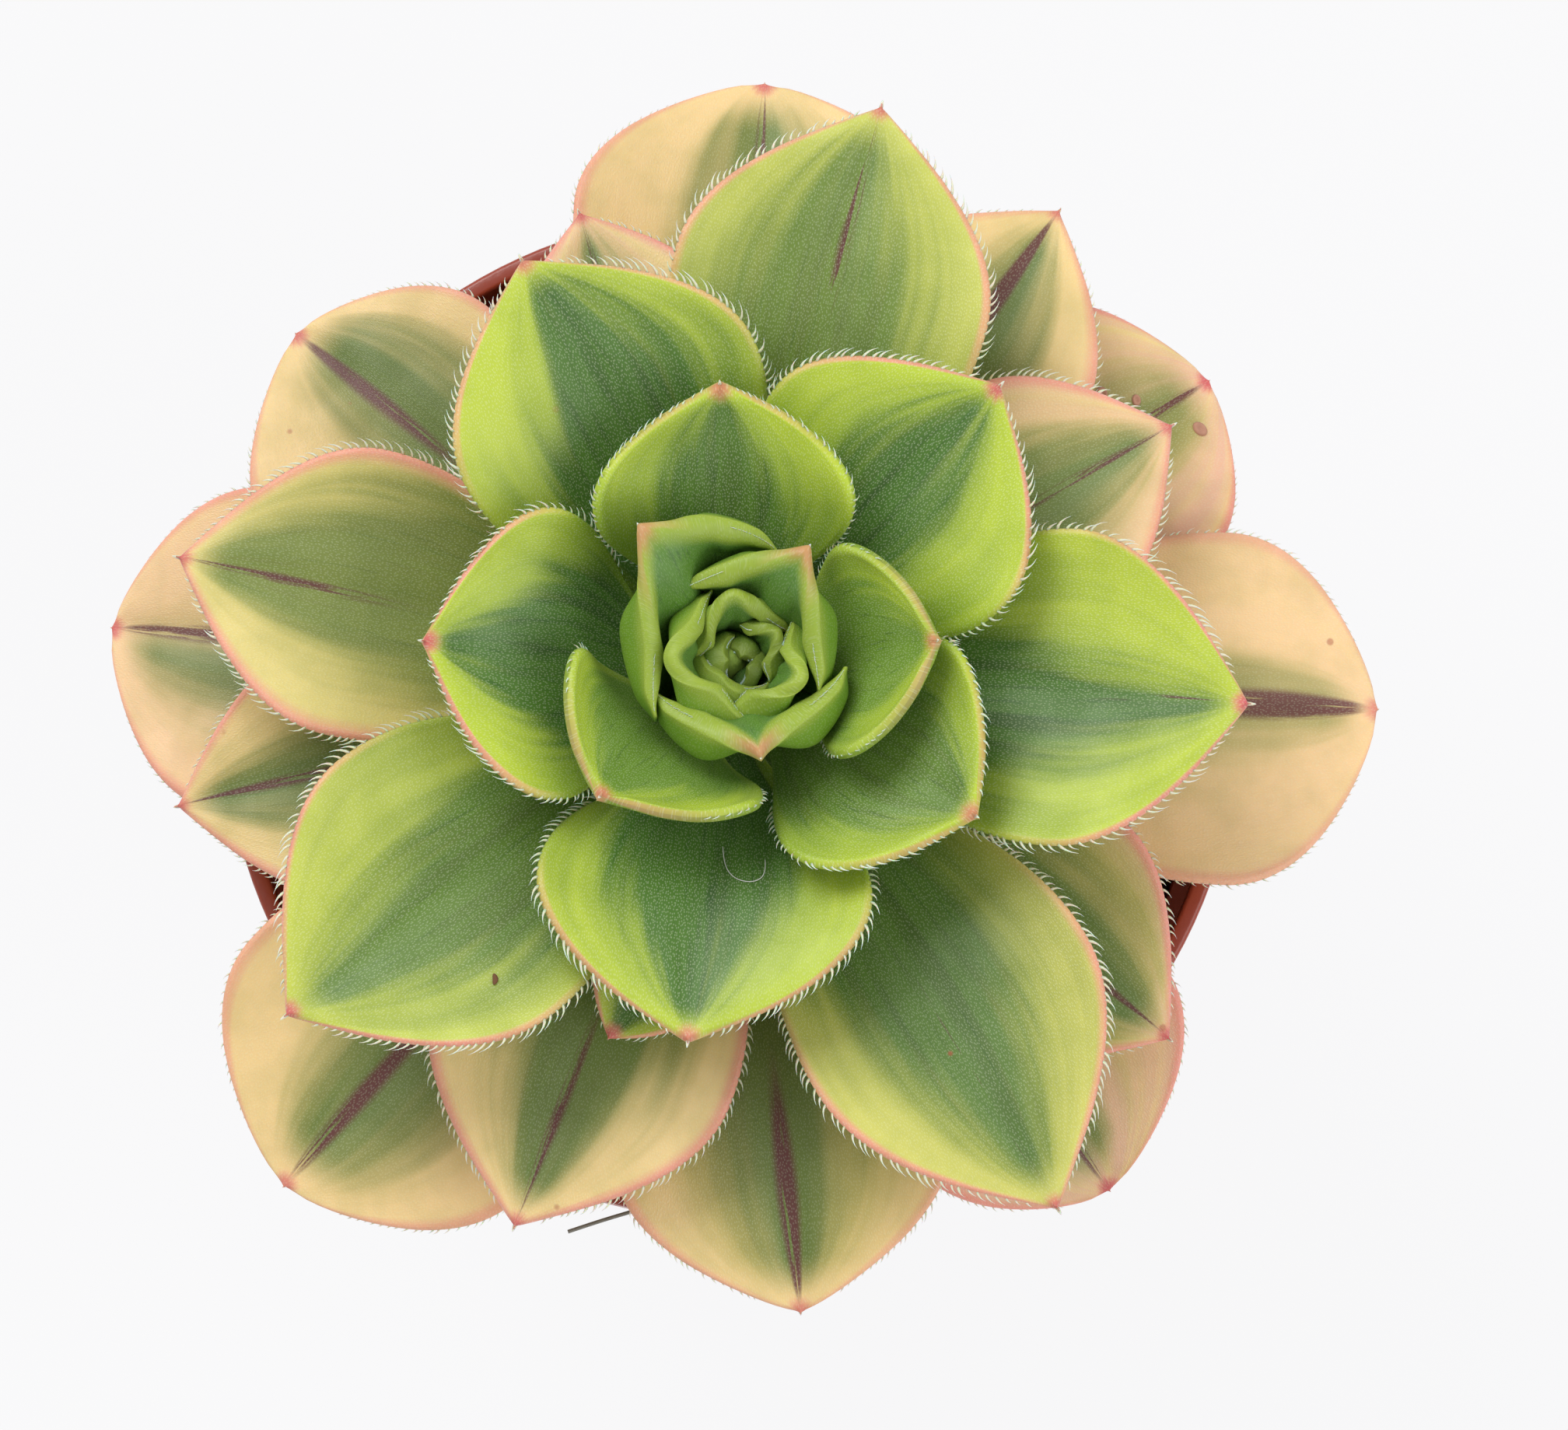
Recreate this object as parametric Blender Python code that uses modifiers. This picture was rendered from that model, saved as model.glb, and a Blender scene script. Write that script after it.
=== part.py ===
"""Potted aeonium: a variegated rosette on a short bare stem, with one side shoot,
growing in soil in a thin round nursery pot.

Frame: origin at the centre of the pot's flat base, +Z up, metres.
"""

import math

import bmesh
import bpy

# Pot, millimetres
RIM_R = 42.5
RIM_Z = 68.0
LIP_HEIGHT = 8.5
LIP_TAPER = 0.4
LIP_STEP = 1.3
EDGE_ROUND = 0.6
SOFTEN = 0.4
BASE_R = 29.6
WALL = 1.1
FLOOR = 1.4
BAND_R = RIM_R - LIP_TAPER
STEP_Z = RIM_Z - LIP_HEIGHT
SHOULDER_R = BAND_R - LIP_STEP
SHOULDER_Z = STEP_Z - SOFTEN
INNER_BASE_R = BASE_R - WALL + 0.2
DRAIN_COUNT = 6
DRAIN_RING_R = 24.0
DRAIN_R = 2.6
TURN_STEPS = 48

# Soil and stem
SOIL_Z = 59.5
SOIL_CROWN = 1.2
SOIL_EDGE_DROP = 1.0
ROOT_DEPTH = 12.0
STEM_R = 5.0
STEM_RIM_R = 4.6
STEM_TOP_R = 4.0
APEX_R = 0.8
APEX_RISE = 6.0
FIT_GAP = 0.3

# Rosette
TOP_NODE = 24.0  # height of the topmost big leaf's base above the rim
NODE_PITCH = 0.8  # each older leaf joins the stem this much lower
LEAF_BASE_W = 2.4
TIP_HALF_W = 0.3
LEAF_GRID = (8, 4)
BUD_GRID = (6, 8)
BUD_THICKNESS = 0.42
BUD_WRAP = math.radians(76)
BUD_START = 0.9
BUD_PITCH = 0.55
LEAF_GAP = 0.4

# Each big leaf, youngest first: name, azimuth (deg, from +X towards +Y), reach from the
# stem's axis, height of the tip above the rim, half width, where along its length it is
# widest, and how blunt its tip is (under 0.7 is round, near 1 is pointed).
BIG_LEAVES = [
    ("heart_leaf_1", 285, 10.4, 35.0, 9.0, 0.62, 0.9),
    ("heart_leaf_2", 127, 12.6, 35.0, 9.5, 0.62, 0.9),
    ("heart_leaf_3", 2, 16.2, 35.0, 10.0, 0.60, 0.9),
    ("heart_leaf_4", 229.5, 15.4, 35.0, 11.0, 0.60, 0.9),
    ("upper_leaf_01", 92, 21.2, 34.0, 11.5, 0.60, 0.9),
    ("upper_leaf_02", 326, 23.4, 33.0, 11.5, 0.62, 0.9),
    ("upper_leaf_03", 178, 24.2, 33.0, 13.0, 0.62, 0.9),
    ("upper_leaf_04", 45, 30.5, 32.0, 13.5, 0.62, 0.9),
    ("upper_leaf_05", 264, 31.0, 31.0, 14.0, 0.62, 0.9),
    ("upper_leaf_06", 117.5, 36.1, 31.0, 13.5, 0.62, 0.9),
    ("upper_leaf_07", 355, 41.6, 29.0, 13.3, 0.64, 0.9),
    ("upper_leaf_08", 219, 45.3, 28.0, 13.8, 0.64, 0.9),
    ("upper_leaf_09", 75, 47.4, 26.0, 13.4, 0.66, 0.9),
    ("upper_leaf_10", 301, 50.9, 24.0, 13.6, 0.64, 0.9),
    ("upper_leaf_11", 168, 45.8, 21.0, 12.2, 0.66, 0.9),
    ("lower_leaf_01", 30, 41.7, 18.5, 11.0, 0.66, 0.9),
    ("lower_leaf_02", 248.6, 47.8, 16.0, 13.0, 0.66, 0.9),
    ("lower_leaf_03", 107.7, 41.4, 14.5, 10.0, 0.66, 0.9),
    ("lower_leaf_04", 321, 46.1, 13.0, 11.5, 0.66, 0.9),
    ("lower_leaf_05", 192, 46.5, 11.5, 11.0, 0.66, 0.9),
    ("lower_leaf_06", 56, 48.8, 10.5, 11.5, 0.68, 0.9),
    ("lower_leaf_07", 276.4, 51.3, 9.0, 14.0, 0.72, 0.75),
    ("lower_leaf_08", 140, 47.3, 8.0, 15.0, 0.74, 0.6),
    ("lower_leaf_09", 359, 53.5, 6.5, 15.6, 0.74, 0.6),
    ("lower_leaf_10", 227.7, 54.6, 5.5, 15.5, 0.74, 0.6),
    ("lower_leaf_11", 87, 52.4, 5.0, 15.4, 0.74, 0.6),
    ("lower_leaf_12", 307.5, 51.2, 4.0, 14.0, 0.74, 0.6),
    ("lower_leaf_13", 173, 52.0, 3.5, 15.0, 0.74, 0.6),
    ("lower_leaf_14", 34.4, 48.4, 3.0, 12.8, 0.76, 0.6),
]

# How habit changes from the youngest big leaf (0) to the oldest (28): rise angle at the
# stem, rise angle at the tip, half angle of the cupped section (deg), middle thickness.
HABIT_AT = (0, 3, 6, 9, 14, 20, 28)
BASE_RISE = (46, 46, 44, 36, 22, 14, 8)
TIP_RISE = (76, 50, 28, 12, 2, -8, -25)
CUP = (62, 50, 38, 30, 24, 18, 14)
THICKNESS = (1.3, 1.6, 1.8, 2.0, 2.0, 2.0, 2.0)

# Closed leaves of the heart, outermost first: azimuth, radius of the belly, radius of the
# tip, height of the tip above the rim.
BUD_LEAVES = [
    (57, 7.3, 8.6, 36.0),
    (184, 6.5, 6.3, 35.0),
    (341, 5.75, 5.6, 34.6),
    (96, 5.0, 4.9, 34.2),
    (228, 4.3, 4.0, 33.8),
    (35, 3.6, 3.4, 33.4),
    (165, 2.9, 2.6, 33.0),
    (310, 2.2, 1.9, 32.6),
    (85, 1.5, 1.1, 32.2),
]

# Side shoot: its stalk leaves the main stem under upper_leaf_05.
SHOOT_AZ = 264.0
SHOOT_STALK_R = 1.0
SHOOT_STALK = ((5.4, 15.7), (10.0, 16.6), (18.6, 16.4), (18.6, 22.4))  # curve's control points
SHOOT_STALK_STEPS = 9
SHOOT_FIRST_NODE = 19.0
SHOOT_PITCH = 0.75
SHOOT_COLLAR_R = 1.3
# azimuth, reach from the shoot's head, tip height above the rim, half width
SHOOT_LEAVES = [
    (235.0, 13.6, 21.0, 4.6),
    (302.0, 9.6, 25.2, 3.6),
    (264.0, 7.0, 25.8, 2.7),
    (184.0, 6.0, 24.4, 2.6),
    (355.0, 5.4, 25.0, 2.4),
]
SHOOT_GRID = (6, 4)

MM = 0.001


def clear_scene():
    for obj in list(bpy.data.objects):
        bpy.data.objects.remove(obj, do_unlink=True)


def new_collection(name):
    collection = bpy.data.collections.new(name)
    bpy.context.scene.collection.children.link(collection)
    return collection


def new_material(name, colour, roughness):
    material = bpy.data.materials.new(name)
    material.use_nodes = True
    shader = material.node_tree.nodes["Principled BSDF"]
    shader.inputs["Base Color"].default_value = (*colour, 1.0)
    shader.inputs["Roughness"].default_value = roughness
    shader.inputs["Metallic"].default_value = 0.0
    return material


def add_object(name, mesh, collection, material=None):
    obj = bpy.data.objects.new(name, mesh)
    collection.objects.link(obj)
    if material:
        mesh.materials.append(material)
    return obj


def turned(name, profile, collection, material):
    """A profile of (radius, height) points in millimetres, spun about Z."""
    bm = bmesh.new()
    verts = [bm.verts.new((r * MM, 0.0, z * MM)) for r, z in profile]
    for first, second in zip(verts, verts[1:] + verts[:1]):
        if first.co.x > 0 or second.co.x > 0:
            bm.edges.new((first, second))
    mesh = bpy.data.meshes.new(name)
    bm.to_mesh(mesh)
    bm.free()
    obj = add_object(name, mesh, collection, material)
    screw = obj.modifiers.new("turn", "SCREW")
    screw.axis = "Z"
    screw.steps = screw.render_steps = TURN_STEPS
    screw.use_merge_vertices = True
    screw.merge_threshold = 0.00005
    screw.use_smooth_shade = True
    return obj


def along(place, places, values):
    """Straight-line interpolation in a short table."""
    if place <= places[0]:
        return values[0]
    for index in range(1, len(places)):
        if place <= places[index]:
            share = (place - places[index - 1]) / (places[index] - places[index - 1])
            return values[index - 1] + (values[index] - values[index - 1]) * share
    return values[-1]


def stem_radius(height):
    """Radius of the main stem at a height above the rim."""
    return along(
        height,
        (0.0, TOP_NODE, TOP_NODE + APEX_RISE),
        (STEM_RIM_R, STEM_TOP_R, APEX_R),
    )


def half_width(u, leaf):
    """Obovate outline: a narrow base, widest past the middle, then in to the tip."""
    if u < leaf["widest"]:
        grow = math.sin(u / leaf["widest"] * math.pi / 2) ** 1.5
        return LEAF_BASE_W * leaf["base"] + (leaf["width"] - LEAF_BASE_W * leaf["base"]) * grow
    s = (u - leaf["widest"]) / (1 - leaf["widest"])
    fall = (1 - s * s) ** leaf["blunt"] * (1 - 0.12 * s**3)
    return max(leaf["width"] * fall, TIP_HALF_W)


def midrib(u, leaf):
    """Point and unit direction of the midrib, as (distance from axis, height)."""
    r0, z0 = leaf["foot"]
    r3, z3 = leaf["tip"]
    arm = 0.38 * math.hypot(r3 - r0, z3 - z0)
    base, tip = leaf["base_rise"], leaf["tip_rise"]
    rs = (r0, r0 + arm * math.cos(base), r3 - arm * math.cos(tip), r3)
    zs = (z0, z0 + arm * math.sin(base), z3 - arm * math.sin(tip), z3)
    w = ((1 - u) ** 3, 3 * u * (1 - u) ** 2, 3 * u * u * (1 - u), u**3)
    d = (3 * (1 - u) ** 2, 6 * u * (1 - u), 3 * u * u)
    point = [sum(a * b for a, b in zip(w, line)) for line in (rs, zs)]
    slope = [sum(d[i] * (line[i + 1] - line[i]) for i in range(3)) for line in (rs, zs)]
    size = math.hypot(*slope)
    return point, (slope[0] / size, slope[1] / size)


def leaf_point(u, v, side, leaf):
    """A point of a cupped leaf. u runs base to tip, v margin to margin, side is +1 above."""
    (r, z), (tr, tz) = midrib(u, leaf)
    width = half_width(u, leaf)
    fill = 0.25 + 0.75 * math.sin(min(u / leaf["widest"], 1.0) * math.pi / 2)
    arc = max(leaf["cup"] * fill * width / leaf["width"], 0.001)
    swell = 0.55 + 0.45 * math.sin(u**0.8 * math.pi)
    thick = leaf["thickness"] * (0.35 + 0.65 * (1 - v * v)) * swell
    radius = width / arc
    lift = radius * (1 - math.cos(arc * v)) + side * thick / 2 * math.cos(arc * v)
    across = (radius - side * thick / 2) * math.sin(arc * v)
    out, up = r - tz * lift, z + tr * lift
    cos_az, sin_az = math.cos(leaf["azimuth"]), math.sin(leaf["azimuth"])
    x0, y0 = leaf["axis"]
    return (
        (x0 + out * cos_az - across * sin_az) * MM,
        (y0 + out * sin_az + across * cos_az) * MM,
        (RIM_Z + up) * MM,
    )


def bud_point(u, v, side, bud):
    """A point of a closed heart leaf, which wraps round the axis like a shell."""
    foot_r, foot_z = bud["foot"]
    spread = math.sin(min(u / 0.5, 1.0) * math.pi / 2)
    flare = max((u - 0.6) / 0.4, 0.0) ** 2
    r = foot_r + (bud["belly"] - foot_r) * spread + (bud["tip_r"] - bud["belly"]) * flare
    r -= side * BUD_THICKNESS / 2
    z = foot_z + (bud["tip_z"] - foot_z) * u
    narrow = 0.55 + 0.45 * math.sin(min(u / 0.55, 1.0) * math.pi / 2)
    close = max(1 - max((u - 0.55) / 0.45, 0.0) ** 2, 0.04) ** 0.7
    angle = bud["azimuth"] + v * BUD_WRAP * narrow * close
    return r * math.cos(angle) * MM, r * math.sin(angle) * MM, (RIM_Z + z) * MM


def slab(name, point, shape, grid, collection, material):
    """A closed thick sheet: a grid is extruded, then every vertex is moved onto point()."""
    bm = bmesh.new()
    bmesh.ops.create_grid(bm, x_segments=grid[0], y_segments=grid[1], size=1.0)
    sheet = bmesh.ops.extrude_face_region(bm, geom=bm.faces[:] + bm.edges[:])
    raised = {item for item in sheet["geom"] if isinstance(item, bmesh.types.BMVert)}
    for vert in bm.verts:
        side = 1 if vert in raised else -1
        u, v = (vert.co.x + 1) / 2, vert.co.y
        vert.co = point(min(max(u, 0.0), 1.0), v, side, shape)
    bmesh.ops.recalc_face_normals(bm, faces=bm.faces[:])
    mesh = bpy.data.meshes.new(name)
    bm.to_mesh(mesh)
    bm.free()
    mesh.shade_smooth()
    return add_object(name, mesh, collection, material)


def build_pot(collection, cutters, material):
    soft = EDGE_ROUND * 0.3
    outer = [
        (RIM_R - EDGE_ROUND, RIM_Z),
        (RIM_R - soft, RIM_Z - soft),
        (RIM_R, RIM_Z - EDGE_ROUND),
        (BAND_R, STEP_Z),
        (SHOULDER_R, SHOULDER_Z),
        (BASE_R + EDGE_ROUND, EDGE_ROUND),
        (BASE_R, 0.0),
        (0.0, 0.0),
    ]
    inner = [
        (0.0, FLOOR),
        (INNER_BASE_R, FLOOR),
        (SHOULDER_R - WALL, SHOULDER_Z),
        (BAND_R - WALL, STEP_Z + SOFTEN),
        (RIM_R - WALL - soft, RIM_Z - EDGE_ROUND),
        (RIM_R - WALL, RIM_Z - soft),
    ]
    pot = turned("pot", outer + inner, collection, material)
    for index in range(DRAIN_COUNT):
        angle = math.tau * index / DRAIN_COUNT
        bm = bmesh.new()
        bmesh.ops.create_cone(
            bm, cap_ends=True, segments=16, radius1=DRAIN_R * MM, radius2=DRAIN_R * MM, depth=8 * MM
        )
        mesh = bpy.data.meshes.new(f"drain_cutter_{index + 1}")
        bm.to_mesh(mesh)
        bm.free()
        cutter = add_object(mesh.name, mesh, cutters)
        cutter.location = (DRAIN_RING_R * MM * math.cos(angle), DRAIN_RING_R * MM * math.sin(angle), 0)
        cutter.hide_render = True
        cutter.display_type = "WIRE"
        hole = pot.modifiers.new(f"drain_{index + 1}", "BOOLEAN")
        hole.operation = "DIFFERENCE"
        hole.solver = "EXACT"
        hole.object = cutter
    return pot


def inner_wall_radius(z):
    """Radius of the pot's inside at a height above its base."""
    share = (z - FLOOR) / (SHOULDER_Z - FLOOR)
    return INNER_BASE_R + (SHOULDER_R - WALL - INNER_BASE_R) * share


def build_soil(collection, material):
    """The root ball fills the pot, with a hole that the buried stem stands in."""
    edge_z = SOIL_Z - SOIL_EDGE_DROP
    edge_r = inner_wall_radius(edge_z) - FIT_GAP
    socket_r = STEM_R + FIT_GAP
    socket_z = SOIL_Z - ROOT_DEPTH - FIT_GAP
    bottom = FLOOR + FIT_GAP
    profile = [
        (0.0, socket_z),
        (socket_r, socket_z),
        (socket_r, SOIL_Z + SOIL_CROWN),
        (edge_r * 0.6, SOIL_Z + SOIL_CROWN * 0.6),
        (edge_r, edge_z),
        (inner_wall_radius(bottom) - FIT_GAP, bottom),
        (0.0, bottom),
    ]
    return turned("soil", profile, collection, material)


def build_stem(collection, material):
    profile = [
        (0.0, RIM_Z + TOP_NODE + APEX_RISE + 0.5),
        (APEX_R, RIM_Z + TOP_NODE + APEX_RISE),
        (STEM_TOP_R, RIM_Z + TOP_NODE),
        (STEM_RIM_R, RIM_Z),
        (STEM_R, SOIL_Z + SOIL_CROWN),
        (STEM_R, SOIL_Z - ROOT_DEPTH + 1.0),
        (STEM_R - 1.0, SOIL_Z - ROOT_DEPTH),
        (0.0, SOIL_Z - ROOT_DEPTH),
    ]
    return turned("stem", profile, collection, material)


def build_big_leaves(collection, materials):
    for order, (name, azimuth, reach, tip_z, width, widest, blunt) in enumerate(BIG_LEAVES):
        node_z = TOP_NODE - NODE_PITCH * order
        leaf = {
            "axis": (0.0, 0.0),
            "azimuth": math.radians(azimuth),
            "foot": (stem_radius(node_z) + LEAF_GAP, node_z),
            "tip": (reach, tip_z),
            "base_rise": math.radians(along(order, HABIT_AT, BASE_RISE)),
            "tip_rise": math.radians(along(order, HABIT_AT, TIP_RISE)),
            "cup": math.radians(along(order, HABIT_AT, CUP)),
            "thickness": along(order, HABIT_AT, THICKNESS),
            "width": width,
            "widest": widest,
            "blunt": blunt,
            "base": 1.0,
        }
        material = materials[name.split("_")[0]]
        slab(name, leaf_point, leaf, LEAF_GRID, collection, material)


def build_bud_leaves(collection, material):
    for order, (azimuth, belly, tip_r, tip_z) in enumerate(BUD_LEAVES):
        foot_z = TOP_NODE + BUD_START + BUD_PITCH * order
        bud = {
            "azimuth": math.radians(azimuth),
            "foot": (stem_radius(foot_z) + LEAF_GAP, foot_z),
            "belly": belly,
            "tip_r": tip_r,
            "tip_z": tip_z,
        }
        slab(f"bud_leaf_{order + 1}", bud_point, bud, BUD_GRID, collection, material)


def build_shoot(collection, stalk_material, leaf_material):
    azimuth = math.radians(SHOOT_AZ)
    curve = bpy.data.curves.new("shoot_stalk", "CURVE")
    curve.dimensions = "3D"
    curve.bevel_depth = SHOOT_STALK_R * MM
    curve.bevel_resolution = 1
    curve.use_fill_caps = True
    curve.resolution_u = 1
    spline = curve.splines.new("POLY")
    spline.points.add(SHOOT_STALK_STEPS)
    for index, point in enumerate(spline.points):
        u = index / SHOOT_STALK_STEPS
        weights = ((1 - u) ** 3, 3 * u * (1 - u) ** 2, 3 * u * u * (1 - u), u**3)
        r, z = (sum(w * p[i] for w, p in zip(weights, SHOOT_STALK)) for i in range(2))
        place = (r * math.cos(azimuth), r * math.sin(azimuth), RIM_Z + z)
        point.co = (*(value * MM for value in place), 1.0)
    stalk = bpy.data.objects.new("shoot_stalk", curve)
    curve.materials.append(stalk_material)
    collection.objects.link(stalk)

    head_r = SHOOT_STALK[-1][0]
    head = (head_r * math.cos(azimuth), head_r * math.sin(azimuth))
    for order, (leaf_az, reach, tip_z, width) in enumerate(SHOOT_LEAVES):
        leaf = {
            "axis": head,
            "azimuth": math.radians(leaf_az),
            "foot": (SHOOT_COLLAR_R, SHOOT_FIRST_NODE + SHOOT_PITCH * order),
            "tip": (reach, tip_z),
            "base_rise": math.radians(22 + 12 * order),
            "tip_rise": math.radians(8 + 14 * order),
            "cup": math.radians(34),
            "thickness": 1.0,
            "width": width,
            "widest": 0.6,
            "blunt": 0.9,
            "base": 0.5,
        }
        slab(f"shoot_leaf_{order + 1}", leaf_point, leaf, SHOOT_GRID, collection, leaf_material)


def main():
    clear_scene()
    plant = new_collection("potted_aeonium")
    cutters = new_collection("cutters")
    build_pot(plant, cutters, new_material("pot_plastic", (0.28, 0.06, 0.03), 0.38))
    build_soil(plant, new_material("potting_soil", (0.035, 0.022, 0.015), 0.95))
    bark = new_material("stem_bark", (0.22, 0.17, 0.09), 0.75)
    build_stem(plant, bark)
    leaf_materials = {
        "heart": new_material("heart_leaf", (0.30, 0.46, 0.06), 0.5),
        "upper": new_material("upper_leaf", (0.38, 0.50, 0.08), 0.5),
        "lower": new_material("lower_leaf", (0.80, 0.58, 0.30), 0.55),
    }
    build_big_leaves(plant, leaf_materials)
    build_bud_leaves(plant, new_material("bud_leaf", (0.17, 0.30, 0.05), 0.5))
    build_shoot(plant, bark, new_material("shoot_leaf", (0.22, 0.36, 0.09), 0.5))


main()
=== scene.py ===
import math
import random

import bmesh
import bpy
from mathutils import Matrix, Vector, noise


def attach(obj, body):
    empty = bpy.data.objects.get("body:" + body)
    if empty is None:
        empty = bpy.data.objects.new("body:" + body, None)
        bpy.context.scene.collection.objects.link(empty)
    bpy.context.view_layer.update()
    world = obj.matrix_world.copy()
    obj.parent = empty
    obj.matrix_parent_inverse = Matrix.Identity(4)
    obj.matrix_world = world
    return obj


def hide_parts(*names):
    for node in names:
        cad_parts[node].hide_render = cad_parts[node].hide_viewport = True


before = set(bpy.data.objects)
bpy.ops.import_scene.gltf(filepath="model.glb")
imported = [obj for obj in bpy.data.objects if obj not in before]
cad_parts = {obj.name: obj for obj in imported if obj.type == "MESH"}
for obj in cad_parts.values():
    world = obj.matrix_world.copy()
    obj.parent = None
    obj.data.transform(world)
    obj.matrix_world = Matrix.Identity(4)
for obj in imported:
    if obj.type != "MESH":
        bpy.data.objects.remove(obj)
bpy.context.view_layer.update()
mm = 0.001  # the tables below are in mm and degrees where they don't say otherwise
print("frame loaded")


# Small helpers

def toLinear(hexColour, alpha=1.0):
    # sRGB hex to linear
    channels = [int(hexColour[i:i + 2], 16) / 255 for i in (1, 3, 5)]
    return tuple(c / 12.92 if c <= 0.04045 else ((c + 0.055) / 1.055) ** 2.4 for c in channels) + (alpha,)


def addNode(tree, kind, inputs=None, **settings):
    # an input is another node's output, a hex colour or a plain value
    made = tree.nodes.new("ShaderNode" + kind)
    for key, value in settings.items():
        setattr(made, key, value)
    for key, value in (inputs or {}).items():
        if isinstance(value, bpy.types.NodeSocket):
            tree.links.new(value, made.inputs[key])
        else:
            made.inputs[key].default_value = toLinear(value) if isinstance(value, str) else value
    return made


def newMaterial(name):
    material = bpy.data.materials.new(name)
    material.use_nodes = True
    tree = material.node_tree
    tree.nodes.clear()
    shader = addNode(tree, "BsdfPrincipled")
    addNode(tree, "OutputMaterial", {"Surface": shader.outputs[0]})
    return material, tree, shader


def turnOutward(bm):
    # the faces agree with one another, and a skin that came out inside out is turned over
    bmesh.ops.recalc_face_normals(bm, faces=bm.faces[:])
    if bm.calc_volume(signed=True) < 0:
        bmesh.ops.reverse_faces(bm, faces=bm.faces[:])


def newPiece(name, bm, material, replaced=(), smooth=True):
    mesh = bpy.data.meshes.new(name)
    bm.to_mesh(mesh)
    bm.free()
    if smooth:
        mesh.shade_smooth()
    mesh.materials.append(material)
    piece = bpy.data.objects.new(name, mesh)
    bpy.context.scene.collection.objects.link(piece)
    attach(piece, "root")
    if replaced:
        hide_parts(*replaced)
    return piece


def clamp(value, low=0.0, high=1.0):
    return max(low, min(high, value))


def smoothStep(low, high, value):
    share = clamp((value - low) / (high - low))
    return share * share * (3 - 2 * share)


def bezier(u, points):
    # the point at share u of a four point curve, and the way that the curve runs there
    w = ((1 - u) ** 3, 3 * u * (1 - u) ** 2, 3 * u * u * (1 - u), u**3)
    d = (3 * (1 - u) ** 2, 6 * u * (1 - u), 3 * u * u)
    point = [sum(a * p[i] for a, p in zip(w, points)) for i in range(2)]
    slope = [sum(d[k] * (points[k + 1][i] - points[k][i]) for k in range(3)) for i in range(2)]
    size = math.hypot(*slope)
    return point, (slope[0] / size, slope[1] / size)


def along(place, places, values):
    # straight lines through a short table
    if place <= places[0]:
        return values[0]
    for index in range(1, len(places)):
        if place <= places[index]:
            share = (place - places[index - 1]) / (places[index] - places[index - 1])
            return values[index - 1] + (values[index] - values[index - 1]) * share
    return values[-1]


# Camera: 8 degrees off straight down, from the front, level with the rim's middle

view = {
    "tilt": 8.0,  # degrees from vertical
    "distance": 600.0,  # mm from the rim's plane
    "target": (4.35, -0.49, 68.0),  # mm
    "frameWidth": 131.0,  # mm seen across at the target
    "sensor": 36.0,
}


def placeCamera():
    tilt = math.radians(view["tilt"])
    data = bpy.data.cameras.new("camera")
    data.sensor_width = view["sensor"]
    data.lens = view["sensor"] * view["distance"] / view["frameWidth"]
    data.clip_start = 0.01
    data.clip_end = 20.0
    camera = bpy.data.objects.new("camera", data)
    bpy.context.scene.collection.objects.link(camera)
    back = Vector((0, -math.sin(tilt), math.cos(tilt)))
    camera.location = (Vector(view["target"]) + back * view["distance"]) * mm
    camera.rotation_euler = (tilt, 0, 0)
    bpy.context.scene.camera = camera


placeCamera()
print("camera placed")


# Leaf shapes: each leaf in its place on the solid model, with a finer surface

plant = {
    "rimZ": 68.0,
    "topNode": 24.0,  # youngest open leaf's foot above the rim
    "pitch": 0.8,  # each older leaf sits this much lower on the stem
    "stemRim": 4.6,  # the stem's radius at the rim's level, at the youngest open leaf and at its tip
    "stemTop": 4.0,
    "apex": 0.8,
    "apexRise": 6.0,  # from the youngest open leaf to the stem's tip
    "leafGap": 0.4,
    "footWidth": 2.4,
    "grid": (60, 44),  # faces along and across a blade
    "budGrid": (44, 72),
    "budCentre": (0.65, -0.6),  # the crown leans this far off the stem's axis
}

# Habit from the youngest open leaf (0) to the oldest (28)
habit = {
    "at": (0, 3, 6, 9, 14, 20, 28),
    "baseRise": (46, 46, 44, 36, 22, 14, 8),
    "tipRise": (76, 50, 28, 12, 2, -8, -25),
    "cup": (62, 50, 38, 30, 24, 18, 14),
    "thickness": (1.5, 1.7, 1.8, 2.0, 2.0, 2.0, 2.0),
    "edge": (1.15, 1.05, 0.85, 0.75, 0.7, 0.8, 0.9),
    "hair": (0.35, 0.65, 1.05, 1.3, 1.1, 0.7, 0.5),
}

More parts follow.
